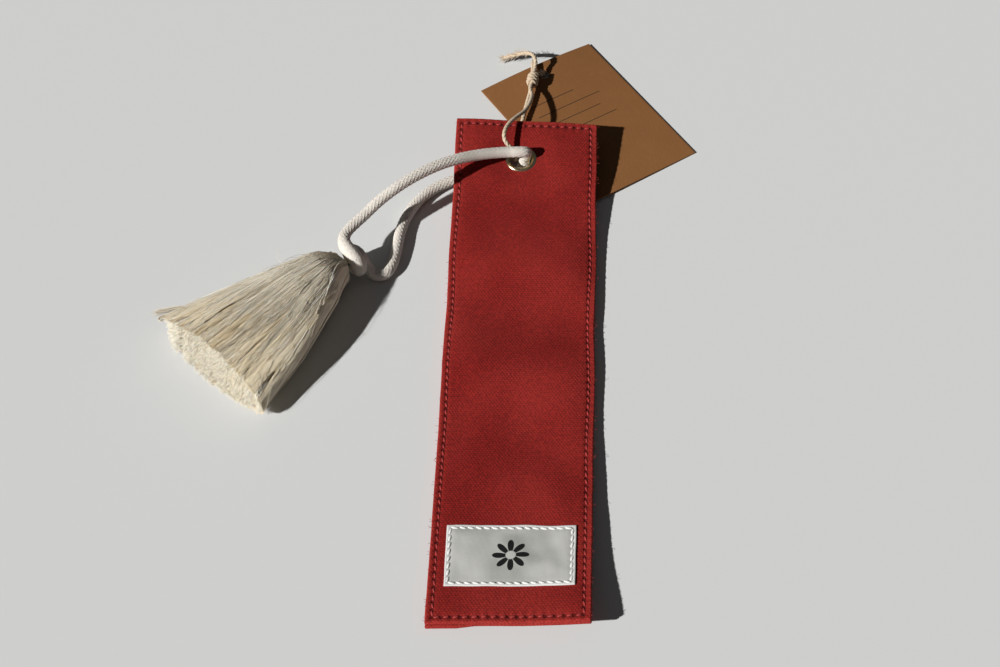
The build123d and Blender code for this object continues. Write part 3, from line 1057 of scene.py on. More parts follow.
@dataclass
class Strip:
    """Sewn canvas strip: two cloths with turned-in hems, stiffener and edge seam."""

    lie: Lie
    hem: float = 8.0
    cloth: float = 0.5
    core_gap: float = 0.3
    seam_inset: float = 1.95
    pitch: float = 2.45
    stitch: Point = (1.6, 0.72, 0.5)
    slant: float = 13.0
    back_thickness: float = 0.26
    seam_heights: tuple[float, float] = (-0.1, 0.16)
    groove_width: float = 0.55
    pucker_width: float = 2.4
    dip: Point = (0.22, 0.1, 0.07)
    spill: float = 0.7
    spill_place: tuple[float, float] = (-9.0, 5.0)
    hole: float = 3.75
    fibres: int = 140
    fibre: float = 0.05
    seam_seed: int = 3
    lint_seed: int = 4

    def edge(self, side: float, s: float, seed: float) -> float:
        """Small unevenness of a folded edge, in millimetres."""
        return 0.16 * side * noise.noise(Vector((s / 9.0, seed, side * 3.0)))

    def seam_dip(self, inset: float, run: float) -> float:
        """Depth that the seam pulls the cloth down, in millimetres.

        Args:
            inset: distance from the edge.
            run: distance along the seam.

        Returns:
            The depth.
        """
        groove = bell(inset, self.seam_inset, self.groove_width)
        pucker = bell(inset, self.seam_inset, self.pucker_width)
        beat = math.cos(math.tau * run / self.pitch)
        return groove * (self.dip[0] + self.dip[1] * beat) + pucker * self.dip[2] * beat

    def lay(self, slab: Slab, face: bool) -> Callable[[float, float, float], Vector]:
        """Place of a cloth's points.

        Args:
            slab: the cloth's flat size.
            face: True for the face cloth, False for the back.

        Returns:
            Function from pattern place to metres.
        """
        middle = self.lie.thickness / 2

        def place(x: float, s: float, height: float) -> Vector:
            """Place in metres of a point of the flat cloth.

            Args:
                x: place across.
                s: station from the label end.
                height: height above the strip's underside.

            Returns:
                The place.
            """
            inset = slab.inset(x, s)
            side = 2 * x / self.lie.width
            outer = height > middle + 0.5 * self.cloth if face else height < middle - 0.5 * self.cloth
            ends = (self.lie.length - 2 * self.seam_inset, self.lie.width - 2 * self.seam_inset)
            steps = [stitch_step(reach, self.pitch) for reach in ends]
            beside = self.lie.width / 2 - abs(x) < min(s, self.lie.length - s)
            run = (s - self.seam_inset) / steps[0] if beside else (x + ends[1] / 2) / steps[1]
            if outer:
                height += (-1 if face else 0.4) * self.seam_dip(inset, run * self.pitch)
            elif inset > self.hem:
                height = middle + (self.cloth if face else -self.cloth)
            moved = x + self.edge(side, s, 0.0 if face else 40.0) * (abs(side) > 0.8)
            if not face and s < 1.0:
                s -= self.spill * clamp((self.spill_place[0] - x) / self.spill_place[1])
            return self.lie.point(moved, s, height)

        return place

    def cloths(self, finish: bpy.types.Material) -> list[bpy.types.Object]:
        """Builds both cloths.

        Args:
            finish: canvas material.

        Returns:
            The face and back pieces.
        """
        half = self.lie.width / 2
        middle = self.lie.thickness / 2
        made = []
        sides = (("front_cloth", (middle, 2 * middle), True), ("back_cloth", (0.0, middle), False))
        for name, heights, face in sides:
            slab = Slab((-half, half), (0.0, self.lie.length), heights)
            mesh = slab.mesh(name, self.lay(slab, face))
            punch(mesh, self.lie.eyelet(), self.hole)
            made.append(add_piece(f"{name}_canvas", mesh, finish, Body.PANEL, [name]))
        return made

    def core(self, finish: bpy.types.Material) -> bpy.types.Object:
        """Builds the hidden stiffener.

        Args:
            finish: felt material.

        Returns:
            The stiffener.
        """
        half = self.lie.width / 2 - self.hem - self.core_gap
        start = self.hem + self.core_gap
        heights = (self.cloth, 3 * self.cloth)
        slab = Slab((-half, half), (start, self.lie.length - start), heights, cell=1.5, rounding=0.1)
        mesh = slab.mesh("interlining", self.lie.point)
        punch(mesh, self.lie.eyelet(), self.hole)
        made = add_piece("interlining_felt", mesh, finish, Body.PANEL, ["interlining"])
        2 * half * MM
        return made

    def stitches(self, half: float, ends: tuple[float, float],
                 pitch: float) -> Iterable[tuple[float, float, bool]]:
        """Places of the stitches of a rectangular seam.

        Args:
            half: half of the seam's width.
            ends: stations of its ends.
            pitch: distance between stitches.

        Returns:
            Place across, station and whether the row runs across.
        """
        across = int(2 * half / pitch)
        along = int((ends[1] - ends[0]) / pitch)
        for i in range(across):
            for s in ends:
                yield -half + (i + 0.5) * 2 * half / across, s, True
        for i in range(along):
            for x in (-half, half):
                yield x, ends[0] + (i + 0.5) * (ends[1] - ends[0]) / along, False

    def seam_mesh(self, name: str, places: Iterable[tuple[float, float, bool]], height: float,
                  size: Point, slant: float, dice: random.Random) -> bpy.types.Mesh:
        """Stitches of a seam, each a plump bar that leans a little.

        Args:
            name: name of the mesh.
            places: place across, station and whether the row runs across.
            height: height above the strip's underside.
            size: length, width and thickness of a stitch.
            slant: turn of a stitch from its row, in degrees.
            dice: source of unevenness.

        Returns:
            One mesh of all the stitches.
        """
        seam = bmesh.new()
        for x, s, across in places:
            turn = slant + dice.uniform(-4, 4) + (0 if across else 90)
            frame = self.lie.frame(x, s, height + dice.uniform(-0.03, 0.03))
            stretch = Matrix.Diagonal((size[0] / 2 * dice.uniform(0.92, 1.08), size[1] / 2, size[2] / 2, 1.0))
            lean = Matrix.Rotation(math.radians(turn), 4, "Z")
            bmesh.ops.create_uvsphere(seam, u_segments=7, v_segments=6, radius=1.0,
                                      matrix=frame @ lean @ stretch @ Matrix.Rotation(math.pi / 2, 4, "Y"))
        return to_mesh(name, seam)

    def seams(self, finish: bpy.types.Material) -> None:
        """Builds the edge seam on both sides.

        Args:
            finish: thread material.
        """
        dice = random.Random(self.seam_seed)
        half = self.lie.width / 2 - self.seam_inset
        ends = (self.seam_inset, self.lie.length - self.seam_inset)
        flat = (*self.stitch[:2], self.back_thickness)
        top = self.lie.thickness + self.seam_heights[0]
        rows = (("edge_needle_thread", top, self.stitch), ("edge_bobbin_thread", self.seam_heights[1], flat))
        for node, height, size in rows:
            places = self.stitches(half, ends, self.pitch)
            mesh = self.seam_mesh(node, places, height, size, self.slant, dice)
            add_piece(f"{node}_stitches", mesh, finish, Body.PANEL, [node])

    def lint(self, finish: bpy.types.Material) -> bpy.types.Object:
        """Builds the short fibres that stand off the folded edges.

        Args:
            finish: thread material.

        Returns:
            The fibres' piece.
        """
        dice = random.Random(self.lint_seed)
        lines = []
        for _ in range(self.fibres):
            side = dice.choice((-1, 1, 1))
            s = dice.uniform(0.5, self.lie.length - 0.5)
            start = self.lie.point(side * (self.lie.width / 2 - 0.1), s, dice.uniform(0.6, 1.8))
            reach = (side * dice.uniform(0.3, 1.0), dice.uniform(-0.7, 0.7), dice.uniform(-0.1, 0.5))
            out = Vector(reach) * MM
            lines.append([start, start + out * 0.5 + UP * 0.15 * MM, start + out])
        mesh = tubes("lint", lines, self.fibre * MM, 0)
        return add_piece("cloth_lint", mesh, finish, Body.PANEL)


@dataclass
class Label:
    """White label sewn to the face cloth."""

    strip: Strip
    width: float = 36.0
    length: float = 20.5
    from_end: float = 11.8
    lift: float = 0.02
    thickness: float = 0.4
    seam_inset: float = 1.0
    pitch: float = 2.25
    stitch: Point = (2.05, 0.85, 0.42)
    slant: float = -15.0
    seed: int = 5

    def middle(self) -> tuple[float, float]:
        """Middle of the label in the strip's pattern."""
        return 0.0, self.from_end + self.length / 2

    def build(self, ribbon: bpy.types.Material, thread: bpy.types.Material) -> None:
        """Builds the label and its stitches.

        Args:
            ribbon: satin material.
            thread: white thread material.
        """
        dice = random.Random(self.seed)
        lie = self.strip.lie
        low = lie.thickness + self.lift
        slab = Slab((-self.width / 2, self.width / 2), (self.from_end, self.from_end + self.length),
                    (low, low + self.thickness), cell=0.5, rounding=0.16)

        def place(x: float, s: float, height: float) -> Vector:
            """Place in metres of a point of the flat label.

            Args:
                x: place across.
                s: station from the label end.
                height: height above the strip's underside.

            Returns:
                The place.
            """
            inset = slab.inset(x, s)
            if height > low + self.thickness / 2:
                run = s if abs(x) > self.width / 2 - 2 else x
                pull = bell(inset, self.seam_inset, 0.5)
                height -= pull * (0.1 + 0.04 * math.cos(math.tau * run / self.pitch))
                height += 0.16 * (1 - math.exp(-max(inset - 1.2, 0.0) / 2.0))
                height += 0.14 * bell(inset, 0.45, 0.35) * (1 + 0.5 * math.sin(run * 6.0))
                height += 0.3 * noise.noise(Vector((x / 5.5, s / 5.5, 8.0))) * min(inset / 4.0, 1.0)
            bow = noise.noise(Vector((x / 8.0, s / 8.0, 5.0)))
            return lie.point(x + 0.15 * bow, s + 0.3 * bow, height)

        mesh = slab.mesh("label", place)
        made = add_piece("label_satin", mesh, ribbon, Body.PANEL, ["label"])
        half = self.width / 2 - self.seam_inset
        ends = (self.from_end + self.seam_inset, self.from_end + self.length - self.seam_inset)
        places = self.strip.stitches(half, ends, self.pitch)
        top = low + self.thickness
        mesh = self.strip.seam_mesh("label_thread", places, top, self.stitch, self.slant, dice)
        add_piece("label_thread_stitches", mesh, thread, Body.PANEL, ["label_thread"])


@dataclass
class Hung:
    """Anything that hangs on the eyelet, whose middle is given in millimetres."""

    eyelet: Vector

    def beside(self, x: float, y: float, z: float) -> Vector:
        """Place at a distance in plan from the eyelet, in metres."""
        return Vector((self.eyelet.x + x, self.eyelet.y + y, z)) * MM


@dataclass
class Cord(Hung):
    """Braided cord from the eyelet over the strip, twice round the knot and back under the strip."""

    diameter: float = 3.6
    in_bore: tuple[float, float] = (1.0, 1.2)
    arch: tuple[Point, ...] = ((2.5, 0.1, 10.1), (-0.5, -0.9, 11.0))
    table_gap: float = 0.05
    knot_place: tuple[float, float] = (-50.0, -41.9)
    knot_heading: float = 226.0
    knot_radii: tuple[float, float] = (3.6, 3.0)
    knot_spread: tuple[float, float] = (1.2, -1.3)
    knot_swell: float = 0.45
    knot_points: int = 12
    knot_top: tuple[float, float] = (1.4, 8.8)
    swell_reach: tuple[float, float] = (2.0, 8.0)
    lead_in: tuple[Point, ...] = ((-2.4, -6.5, 11.0), (0.6, -3.8, 10.6))
    lead_down: Point = (-1.7, 5.0, 3.4)
    lead_out: tuple[tuple[float, float], ...] = ((-1.8, 6.6), (-4.4, 8.8))
    strand_share: float = 0.17
    spacing: float = 0.32
    plaits: int = 9
    lay: float = 14.0
    front: tuple[Point, ...] = (
        (-4.9, -0.9, 10.9), (-12.7, -3.9, 12.9), (-21.1, -8.6, 15.2), (-28.4, -13.6, 16.2),
        (-36.1, -19.5, 16.0), (-42.9, -25.0, 14.2), (-47.5, -29.4, 12.0))
    back: tuple[tuple[float, float], ...] = (
        (-38.8, -41.6), (-37.6, -34.0), (-37.2, -26.6), (-35.0, -18.8), (-30.8, -11.2), (-23.2, -5.2),
        (-12.6, -1.8), (-3.4, -2.4))
    line: Thread | None = field(default=None, init=False)

    def rest(self) -> float:
        """Height of the cord's middle where it lies on the table."""
        return self.diameter / 2 + self.table_gap

    def at_knot(self, along: float, across: float, z: float) -> Vector:
        """Place in metres from the knot's own millimetres, along the tassel and across it."""
        x, y = swung(along, across, self.knot_heading)
        return self.beside(self.knot_place[0] + x, self.knot_place[1] + y, z)

    def knot(self) -> Line:
        """Control points of the knot: over the top, under and over again.

        Returns:
            Points in metres.
        """
        turns = []
        quarter = self.knot_points // 4
        for i in range(self.knot_points + quarter + 1):
            angle = i * math.tau / self.knot_points
            share = clamp((i - quarter) / (self.knot_points - quarter))
            along = mixed(*self.knot_spread, share)
            radius = mixed(*self.knot_radii, share)
            spread = radius / math.cos(math.pi / self.knot_points)
            height = 1.3 * self.rest() + radius + spread * math.cos(angle)
            turns.append(self.at_knot(along, spread * math.sin(angle), height))
        lead_in = [self.at_knot(*place) for place in self.lead_in]
        lead_out = [self.at_knot(*place, self.rest()) for place in self.lead_out]
        return [*lead_in, *turns, self.at_knot(*self.lead_down), *lead_out]

    def girths(self, line: Thread) -> list[float]:
        """Girth of the cord, which is fuller where it is pulled flat over the knot.

        Args:
            line: the cord's centre line.

        Returns:
            Share of the usual girth at each point.
        """
        spot = self.at_knot(self.knot_spread[0], *self.knot_top)
        top = min(range(len(line.points)), key=lambda index: (line.points[index] - spot).length)
        away = [abs(index - top) * line.step / MM for index in range(len(line.points))]
        near, fade = self.swell_reach
        return [1 + self.knot_swell * ease(1 - clamp((reach - near) / fade)) for reach in away]

    def route(self) -> Line:
        """Control points of the whole cord.

        Returns:
            Points in metres.
        """
        bore = self.beside(*self.in_bore, self.eyelet.z)
        over = [self.beside(*place) for place in self.front]
        under = [self.beside(x, y, self.rest()) for x, y in self.back]
        foot = self.beside(*self.in_bore, self.rest())
        bend = [self.beside(*place) for place in self.arch]
        return [bore, *bend, *over, *self.knot(), *under, foot, bore]

    def braid(self, line: Thread) -> bpy.types.Mesh:
        """Strands that run over and under each other around a core.

        Args:
            line: the cord's centre line.

        Returns:
            One mesh of the strands and the core.
        """
        radius = self.diameter / 2 * MM
        strand = self.strand_share * radius
        middle = radius - 1.2 * strand
        girths = self.girths(line)
        strands = []
        for hand in (1, -1):
            for k in range(self.plaits):
                points = []
                for i in range(len(line.points)):
                    turns = i * line.step / (self.lay * MM)
                    over = hand * math.cos(math.tau * self.plaits * turns)
                    angle = math.tau * (k / self.plaits + hand * turns)
                    points.append(line.around(i, angle, (middle + 0.2 * strand * over) * girths[i]))
                strands.append(points)
        last = len(line.points) - 1
        woven = tubes("cord_strands", strands, strand, 1)
        core = tubes("cord_core", [line.points], middle + 0.84 * strand, 4,
                     lambda share: girths[round(share * last)])
        return join("cord", [woven, core])

    def build(self, finish: bpy.types.Material) -> bpy.types.Object:
        """Builds the cord.

        Args:
            finish: cotton material.

        Returns:
            The cord's piece.
        """
        self.line = Thread(smooth_line(self.route()), self.spacing * MM)
        nodes = ["cord_front_strand", "cord_knot", "cord_back_strand"]
        return add_piece("cord_braid", self.braid(self.line), finish, Body.CORD, nodes)


YARN_COLOURS: dict[Shade, tuple[Colour, Colour]] = {
    Shade.TOP: ((0.690, 0.595, 0.440), (0.570, 0.483, 0.345)),
    # Painted shade: darker, warmer yarn for the hollows between the locks and for the core seen between the
    # yarns.
    Shade.HOLLOW_PAINTED_SHADE: ((0.640, 0.520, 0.345), (0.540, 0.425, 0.260)),
    # Painted light: paler yarn for the cut end, which faces the lamp, and for the plug behind it.
    Shade.ENDS_PAINTED_LIGHT: ((0.910, 0.860, 0.750), (0.840, 0.780, 0.655)),
    Shade.COOL: ((0.710, 0.640, 0.515), (0.600, 0.533, 0.420)),
    # Painted light: paler yarn for the right side, which the lamp leaves in shade.
    Shade.FLANK_PAINTED_LIGHT: ((0.900, 0.780, 0.570), (0.790, 0.665, 0.465)),
    Shade.BRIGHT: ((0.860, 0.830, 0.760), (0.760, 0.720, 0.640)),
    # Painted shade: the tie thread is coloured dark as it lies in shade.
    Shade.TIE_PAINTED_SHADE: ((0.300, 0.270, 0.210), (0.180, 0.160, 0.120)),
}


@dataclass
class Tassel:
    """Cut bundle of fine cotton yarn that spreads from the knot; lengths are in millimetres."""

    knot: Vector
    heading: float = 226.0
    sections: tuple[Point, ...] = (
        (3.0, 5.4, 9.0), (7.0, 8.2, 13.2), (12.0, 9.6, 15.4), (22.0, 12.4, 16.2), (38.0, 18.2, 15.4),
        (60.5, 25.4, 13.6))
    table_gap: float = 0.05
    arches: tuple[float, float] = (0.33, 0.5)
    rims: tuple[float, float] = (3.0, 8.5)
    rim_fall: Point = (0.55, 30.0, 28.0)
    neck: float = 5.2
    swing_room: float = 2.8
    raised: tuple[float, float] = (3.2, 9.0)
    cut_slope: float = 0.3
    cut_back: tuple[float, float] = (7.0, 3.2)
    locks: int = 15
    fibre: float = 0.085
    outermost: float = 0.998
    long_yarns: int = 2100
    low_yarns: int = 600
    low_seed: int = 5
    top_wisps: int = 20
    wisp_yarns: int = 26
    tip_yarns: int = 70
    cut_ends: int = 8200
    loose_yarns: int = 130
    bright_yarns: int = 26
    tip: Point = (58.0, -25.4, 8.0)
    curl: tuple[Point, ...] = (
        (0.0, 0.0, 0.0), (-1.2, 0.8, 0.6), (-1.9, 1.6, 1.3), (-1.7, 2.6, 2.1), (-0.7, 3.3, 2.7),
        (0.6, 3.5, 2.8))
    core_rings: tuple[float, ...] = (5.5, 7.5, 10.0, 16.0, 22.0, 28.0, 34.0, 40.0, 46.0)
    plug_rings: tuple[float, ...] = (46.0, 50.0, 54.0, 58.2)
    tie_height: float = 5.6
    tie_thread: float = 0.4
    tie_route: tuple[Point, ...] = (
        (9.0, 2.0, 2.0), (4.6, 0.3, 0.1), (0.0, 0.1, 0.0), (-2.6, 0.1, 0.0), (-3.3, 0.0, -0.5),
        (-2.6, -0.1, -0.9), (0.0, -0.1, -0.8), (4.6, -0.3, -0.6), (5.6, -2.8, 0.8), (5.5, -4.4, 2.4),
        (5.2, -4.6, 4.0))
    seed: int = 7

    def size(self, along: float) -> tuple[float, float]:
        """Half-width and height of the bundle.

        Args:
            along: distance from the knot's axis.

        Returns:
            The two sizes, in millimetres.
        """
        for (a, wide_a, high_a), (b, wide_b, high_b) in zip(self.sections, self.sections[1:]):
            if along <= b:
                share = max((along - a) / (b - a), 0.0)
                return mixed(wide_a, wide_b, share), mixed(high_a, high_b, share)
        return self.sections[-1][1:]

    def slim(self, along: float) -> float:
        """Share that the right side is drawn in, most at the neck."""
        return 0.4 * bell(along, 6.0, 6.5) - 0.1 * bell(along, 32.0, 14.0)

    def groove(self, along: float, side: float) -> float:
        """Depth of the hollows between the locks.

        Args:
            along: distance from the knot's axis.
            side: share of the half-width, from -1 to 1.

        Returns:
            The depth, in millimetres.
        """
        wave = noise.noise(Vector((side * 6.5 + 3.0, along / 34.0, 4.0)))
        wave += 0.4 * noise.noise(Vector((side * 15.0, along / 24.0, 7.0)))
        return 2.0 * max(-wave - 0.04, 0.0) * clamp((along - 16.0) / 22.0)

    def place(self, along: float, across: float, up: float) -> Vector:
        """Place in metres from the tassel's own millimetres."""
        x, y = swung(along, across, self.heading)
        return Vector((self.knot.x + x, self.knot.y + y, self.table_gap + max(up, 0.1))) * MM

    def inside(self, along: float, side: float, level: float, radius: float) -> Vector:
        """Place in the bundle.

        Args:
            along: distance from the knot's axis.
            side: share of the half-width, from -1 to 1.
            level: share of the height there, from 0 to 1.
            radius: distance to keep from the bundle's skin, in millimetres.

        Returns:
            The place, in metres.
        """
        width, height = self.size(along)
        if side > 0:
            width *= 1 - self.slim(along)
        base = self.raised[0] * max(1 - (along - self.sections[0][0]) / self.raised[1], 0.0)
        bow = max(1 - side * side, 0.0)
        half = 0 if side < 0 else 1
        fall, start, reach = self.rim_fall
        rim = self.rims[half] * (1 - fall * half * clamp((along - start) / reach))
        low = max(rim * (1 - math.sqrt(bow)), base)
        top = rim + (height - rim) * bow ** self.arches[half] - self.groove(along, side) * bow
        up = low + radius + level * max(top - low - 2 * radius, 0.0)
        return self.place(along, side * (width - radius), up)

    def strand(self, side: float, level: float, ends: tuple[float, float], steps: int, lock: float,
               pull: float, dice: random.Random) -> Line:
        """Line of one yarn.

        Args:
            side: share of the half-width at which it lies.
            level: share of the height at which it lies.
            ends: distances along where it begins and ends.
            steps: number of its parts.
            lock: share of the half-width where its lock lies.
            pull: how far it is drawn to its lock at the tip.
            dice: source of the number that sets its waves.

        Returns:
            Points in metres.
        """
        seed = dice.uniform(0, 60)
        points = []
        for i in range(steps + 1):
            share = i / steps
            along = mixed(*ends, share)
            gather = pull * share**1.3
            own = noise.noise(Vector((along / 9.0, seed, 0.0)))
            shared = noise.noise(Vector((along / 17.0, lock * 9.0, 3.0)))
            lean = mixed(side, lock, gather) + (0.05 * own + 0.075 * shared) * share
            lean = clamp(lean, -self.outermost, self.outermost)
            points.append(self.inside(along, lean, max(level, 0.0), self.fibre))
        return points

    def begin(self, side: float) -> float:
        """Distance along at which a yarn leaves the knot.

        Args:
            side: share of the half-width, from -1 to 1.

        Returns:
            The distance.
        """
        across = side * self.sections[0][1]
        nearest = self.sections[0][0] + self.swing_room * max(side, 0.0)
        return max(math.sqrt(max(self.neck**2 - across**2, 0.0)), nearest)

    def cut(self, side: float, level: float) -> float:
        """Distance along at which the bundle is cut off.

        Args:
            side: share of the half-width, from -1 to 1.
            level: share of the height there, from 0 to 1.

        Returns:
            The distance.
        """
        last, _, height = self.sections[-1]
        left = self.cut_back[0] * max((-side - 0.55) / 0.45, 0.0) ** 1.5 * (1 - 0.6 * level)
        right = self.cut_back[1] * max(side, 0.0) ** 2
        return last - left - right - self.cut_slope * height * level * (1 - side**2)

    def ragged(self, dice: random.Random) -> float:
        """Length by which a yarn falls short of the cut."""
        return 1.6 * dice.random() + 3.0 * dice.random() ** 6

    def nearest_lock(self, side: float, shift: float) -> float:
        """Middle of the lock that a yarn belongs to."""
        return (math.floor((side + 1 + shift) / 2 * self.locks) + 0.5) * 2 / self.locks - 1 - shift

    def covering(self, dice: random.Random) -> dict[Shade, list[Line]]:
        """Lines of the long yarns that cover the bundle.

        Args:
            dice: source of unevenness.

        Returns:
            The lines by shade: on the locks, in the hollows with painted shade, and on the right with painted
                light.
        """
        groups: dict[Shade, list[Line]] = {Shade.TOP: [], Shade.HOLLOW_PAINTED_SHADE: [], Shade.FLANK_PAINTED_LIGHT: []}
        for i in range(self.long_yarns):
            side = math.sin((i + dice.random()) / self.long_yarns * math.pi - math.pi / 2)
            level = 1 - 0.06 * dice.random() ** 2
            ends = (self.begin(side), self.cut(side, level) - self.ragged(dice))
            line = self.strand(side, level, ends, 10, self.nearest_lock(side, 0.0), 0.2, dice)
            # Yarns in deep hollows get the painted shade.
            deep = self.groove(36.0 + dice.uniform(-8.0, 8.0), side) > 0.22
            # Yarns on the right get the paler colour as painted light.
            right = side + dice.uniform(-0.15, 0.15) > 0.45
            groups[Shade.FLANK_PAINTED_LIGHT if right else Shade.HOLLOW_PAINTED_SHADE if deep else Shade.TOP].append(line)
        return groups

    def underside(self, dice: random.Random) -> list[Line]:
        """Lines of the long yarns under the raised right side, which get the right side's painted light.

        Args:
            dice: source of unevenness.

        Returns:
            The lines.
        """
        lines = []
        for i in range(self.low_yarns):
            side = math.sin((i + dice.random()) / self.low_yarns * math.pi / 2)
            ends = (self.begin(side), self.cut(side, 0.3) - self.ragged(dice))
            lines.append(self.strand(side, 0.04 * dice.random(), ends, 10, side, 0.2, dice))
        return lines

    def wisps(self, dice: random.Random) -> list[Line]:
        """Lines of the shorter pointed wisps that lie on top, and of the tip on the left.

        Args:
            dice: source of unevenness.

        Returns:
            The lines.
        """
        lines = []
        for k in range(self.top_wisps):
            middle = -0.97 + 1.75 * (k + dice.uniform(0.2, 0.8)) / self.top_wisps
            reach = dice.uniform(36.0, 52.0)
            for _ in range(self.wisp_yarns):
                side = clamp(middle + dice.gauss(0.0, 0.05), -0.99, 0.99)
                ends = (dice.uniform(8.0, 22.0), reach - 9.0 * dice.random() ** 1.5)
                lines.append(self.strand(side, 1.0 + 0.012 * dice.random(), ends, 9, middle, 0.6, dice))
        tip = self.place(*self.tip)
        for _ in range(self.tip_yarns):
            line = self.strand(dice.uniform(-0.99, -0.8), 1.0, (22.0, 50.0), 8, -0.93, 0.4, dice)
            spread = Vector((dice.gauss(0, 0.5), dice.gauss(0, 0.5), dice.gauss(0, 0.6))) * MM
            last = line[-1]
            end = tip + spread + (last - tip) * 0.6 * dice.random() ** 2
            lines.append([*line, last.lerp(end, 0.5), end])
        return lines

    def filling(self, dice: random.Random) -> list[Line]:
        """Lines of the fine ends that show in the cut.

        Args:
            dice: source of unevenness.

        Returns:
            The lines.
        """
        lines = []
        for _ in range(self.cut_ends):
            side = dice.uniform(-0.985, 0.985)
            level = dice.random()
            stop = self.cut(side, level) - self.ragged(dice)
            ends = (stop - dice.uniform(3.0, 5.0), stop)
            line = self.strand(side, level, ends, 2, self.nearest_lock(side, 0.05), 0.05, dice)
            line[-1] += Vector((dice.gauss(0, 0.14), dice.gauss(0, 0.14), dice.gauss(0, 0.14))) * MM
            line[-1].z = max(line[-1].z, 0.15 * MM)
            lines.append(line)
        return lines

    def strays(self, dice: random.Random) -> list[Line]:
        """Lines of single fibres that stand off the bundle.

        Args:
            dice: source of unevenness.

        Returns:
            The lines.
        """
        lines = []
        for _ in range(self.loose_yarns):
            side = dice.choice((-1, 1, 1)) * dice.uniform(0.2, 0.99)
            start = dice.uniform(12.0, 52.0)
            reach = dice.uniform(4.0, 9.0)
            lift = dice.uniform(0.3, 1.8)
            turn = dice.uniform(-0.09, 0.09)
            points = []
            for i in range(6):
                share = i / 5
                lean = clamp(side + turn * share, -1, 1)
                foot = self.inside(min(start + reach * share, 60.0), lean, 1.0, 0.1)
                out = UP if abs(side) < 0.8 else Vector((0.4 * side, 0.0, 0.9))
                points.append(foot + out * lift * math.sin(share * 2.2) * MM)
            lines.append(points)
        foot = self.inside(20.0, -0.78, 1.0, 0.1)
        lines.append([foot + Vector(step) * MM for step in self.curl])
        return lines

    def glints(self, dice: random.Random) -> list[Line]:
        """Lines of the brighter threads on the surface, the longest down the right side.

        Args:
            dice: source of unevenness.

        Returns:
            The lines.
        """
        lines = []
        for _ in range(self.bright_yarns):
            side = dice.uniform(-0.85, 0.92)
            start = dice.uniform(10.0, 44.0)
            ends = (start, start + dice.uniform(5.0, 13.0))
            lines.append(self.strand(side, 1.02, ends, 6, side + dice.uniform(-0.12, 0.12), 1.0, dice))
        lines.append([self.inside(6.0 + 1.6 * i, 0.5 + 0.038 * i, 1.03, 0.0) for i in range(11)])
        return lines

    def build(self, finishes: dict[Shade, bpy.types.Material]) -> list[bpy.types.Object]:
        """Builds the yarns, the core and the tie.

        Args:
            finishes: materials of the shades.

        Returns:
            The pieces of the tassel.
        """
        dice = random.Random(self.seed)
        long = self.covering(dice)
        # The yarns under the right side get the same painted light.
        long[Shade.FLANK_PAINTED_LIGHT] += self.underside(random.Random(self.low_seed))
        thin = self.fibre * MM
        wisps = tubes("tassel_short", self.wisps(dice), thin, 0, lambda share: 1 - 0.4 * share)
        core = self.bundle("tassel_core", self.core_rings, (0.96, 0.95), 0.0)
        # The plug behind the cut ends gets the same painted light, so the gaps between the ends show pale.
        plug = self.bundle("tassel_plug", self.plug_rings, (0.95, 0.93), 1.0)
        parts = (("long", tubes("tassel_long", long[Shade.TOP], thin, 0), Shade.TOP),
                 ("hollows", tubes("tassel_hollows", long[Shade.HOLLOW_PAINTED_SHADE], thin, 0), Shade.HOLLOW_PAINTED_SHADE),
                 ("flank", tubes("tassel_flank_painted_light", long[Shade.FLANK_PAINTED_LIGHT], thin, 0), Shade.FLANK_PAINTED_LIGHT),
                 ("wisps", wisps, Shade.COOL),
                 # The cut ends get the painted light.
                 ("ends", tubes("tassel_ends", self.filling(dice), 0.8 * thin, 0), Shade.ENDS_PAINTED_LIGHT),
                 ("plug", plug, Shade.ENDS_PAINTED_LIGHT),
                 ("strays", tubes("tassel_loose", self.strays(dice), 0.05 * MM, 0), Shade.COOL),
                 ("glints", tubes("tassel_glints", self.glints(dice), 0.09 * MM, 0), Shade.BRIGHT),
                 # The core seen between the yarns gets the hollows' painted shade.
                 ("core", core, Shade.HOLLOW_PAINTED_SHADE))
        made = [add_piece(f"tassel_yarn_{name}", mesh, finishes[shade], Body.TASSEL,
                          ["tassel_yarn"] if name == "long" else ()) for name, mesh, shade in parts]
        tie = add_piece("tassel_tie_thread", self.tie(), finishes[Shade.TIE_PAINTED_SHADE], Body.TASSEL,
                        ["tassel_tie"])
        return [*made, tie]

    def bundle(self, name: str, stations: Sequence[float], fill: tuple[float, float],
               slope: float) -> bpy.types.Mesh:
        """Solid body inside the yarns.

        Args:
            name: name of the mesh.
            stations: distances along of its rings.
            fill: shares of the half-width and of the height that it takes up.
            slope: share of the cut's slope that its rings follow.

        Returns:
            A closed mesh.
        """
        shape = bmesh.new()
        rings = []
        for along in stations:
            ring = bmesh.ops.create_circle(shape, segments=56, radius=1.0)["verts"]
            for vertex in ring:
                side = vertex.co.x * fill[0]
                level = fill[1] if vertex.co.y > 0 else 1 - fill[1]
                back = slope * (self.sections[-1][0] - self.cut(side, level))
                top = self.inside(along - back, side, level, self.fibre)
                low = self.inside(along - back, side, 0.5, self.fibre)
                vertex.co = low.lerp(top, min(abs(vertex.co.y) * 1.5, 1.0))
            rings.append(list({edge for vertex in ring for edge in vertex.link_edges}))
        for first, second in zip(rings, rings[1:]):
            bmesh.ops.bridge_loops(shape, edges=first + second)
        bmesh.ops.holes_fill(shape, edges=[edge for edge in shape.edges if edge.is_boundary])
        bmesh.ops.recalc_face_normals(shape, faces=shape.faces)
        return to_mesh(name, shape)

    def tie(self) -> bpy.types.Mesh:
        """Thread that runs from the bundle through the knot's middle and back, with its cut end up.

        Returns:
            The thread's mesh.
        """
        route = [self.place(along, across, self.tie_height + up) for along, across, up in self.tie_route]
        line = smooth_line(route)
        return tubes("tassel_tie", [Thread(line, 0.5 * MM).points], self.tie_thread * MM, 1)


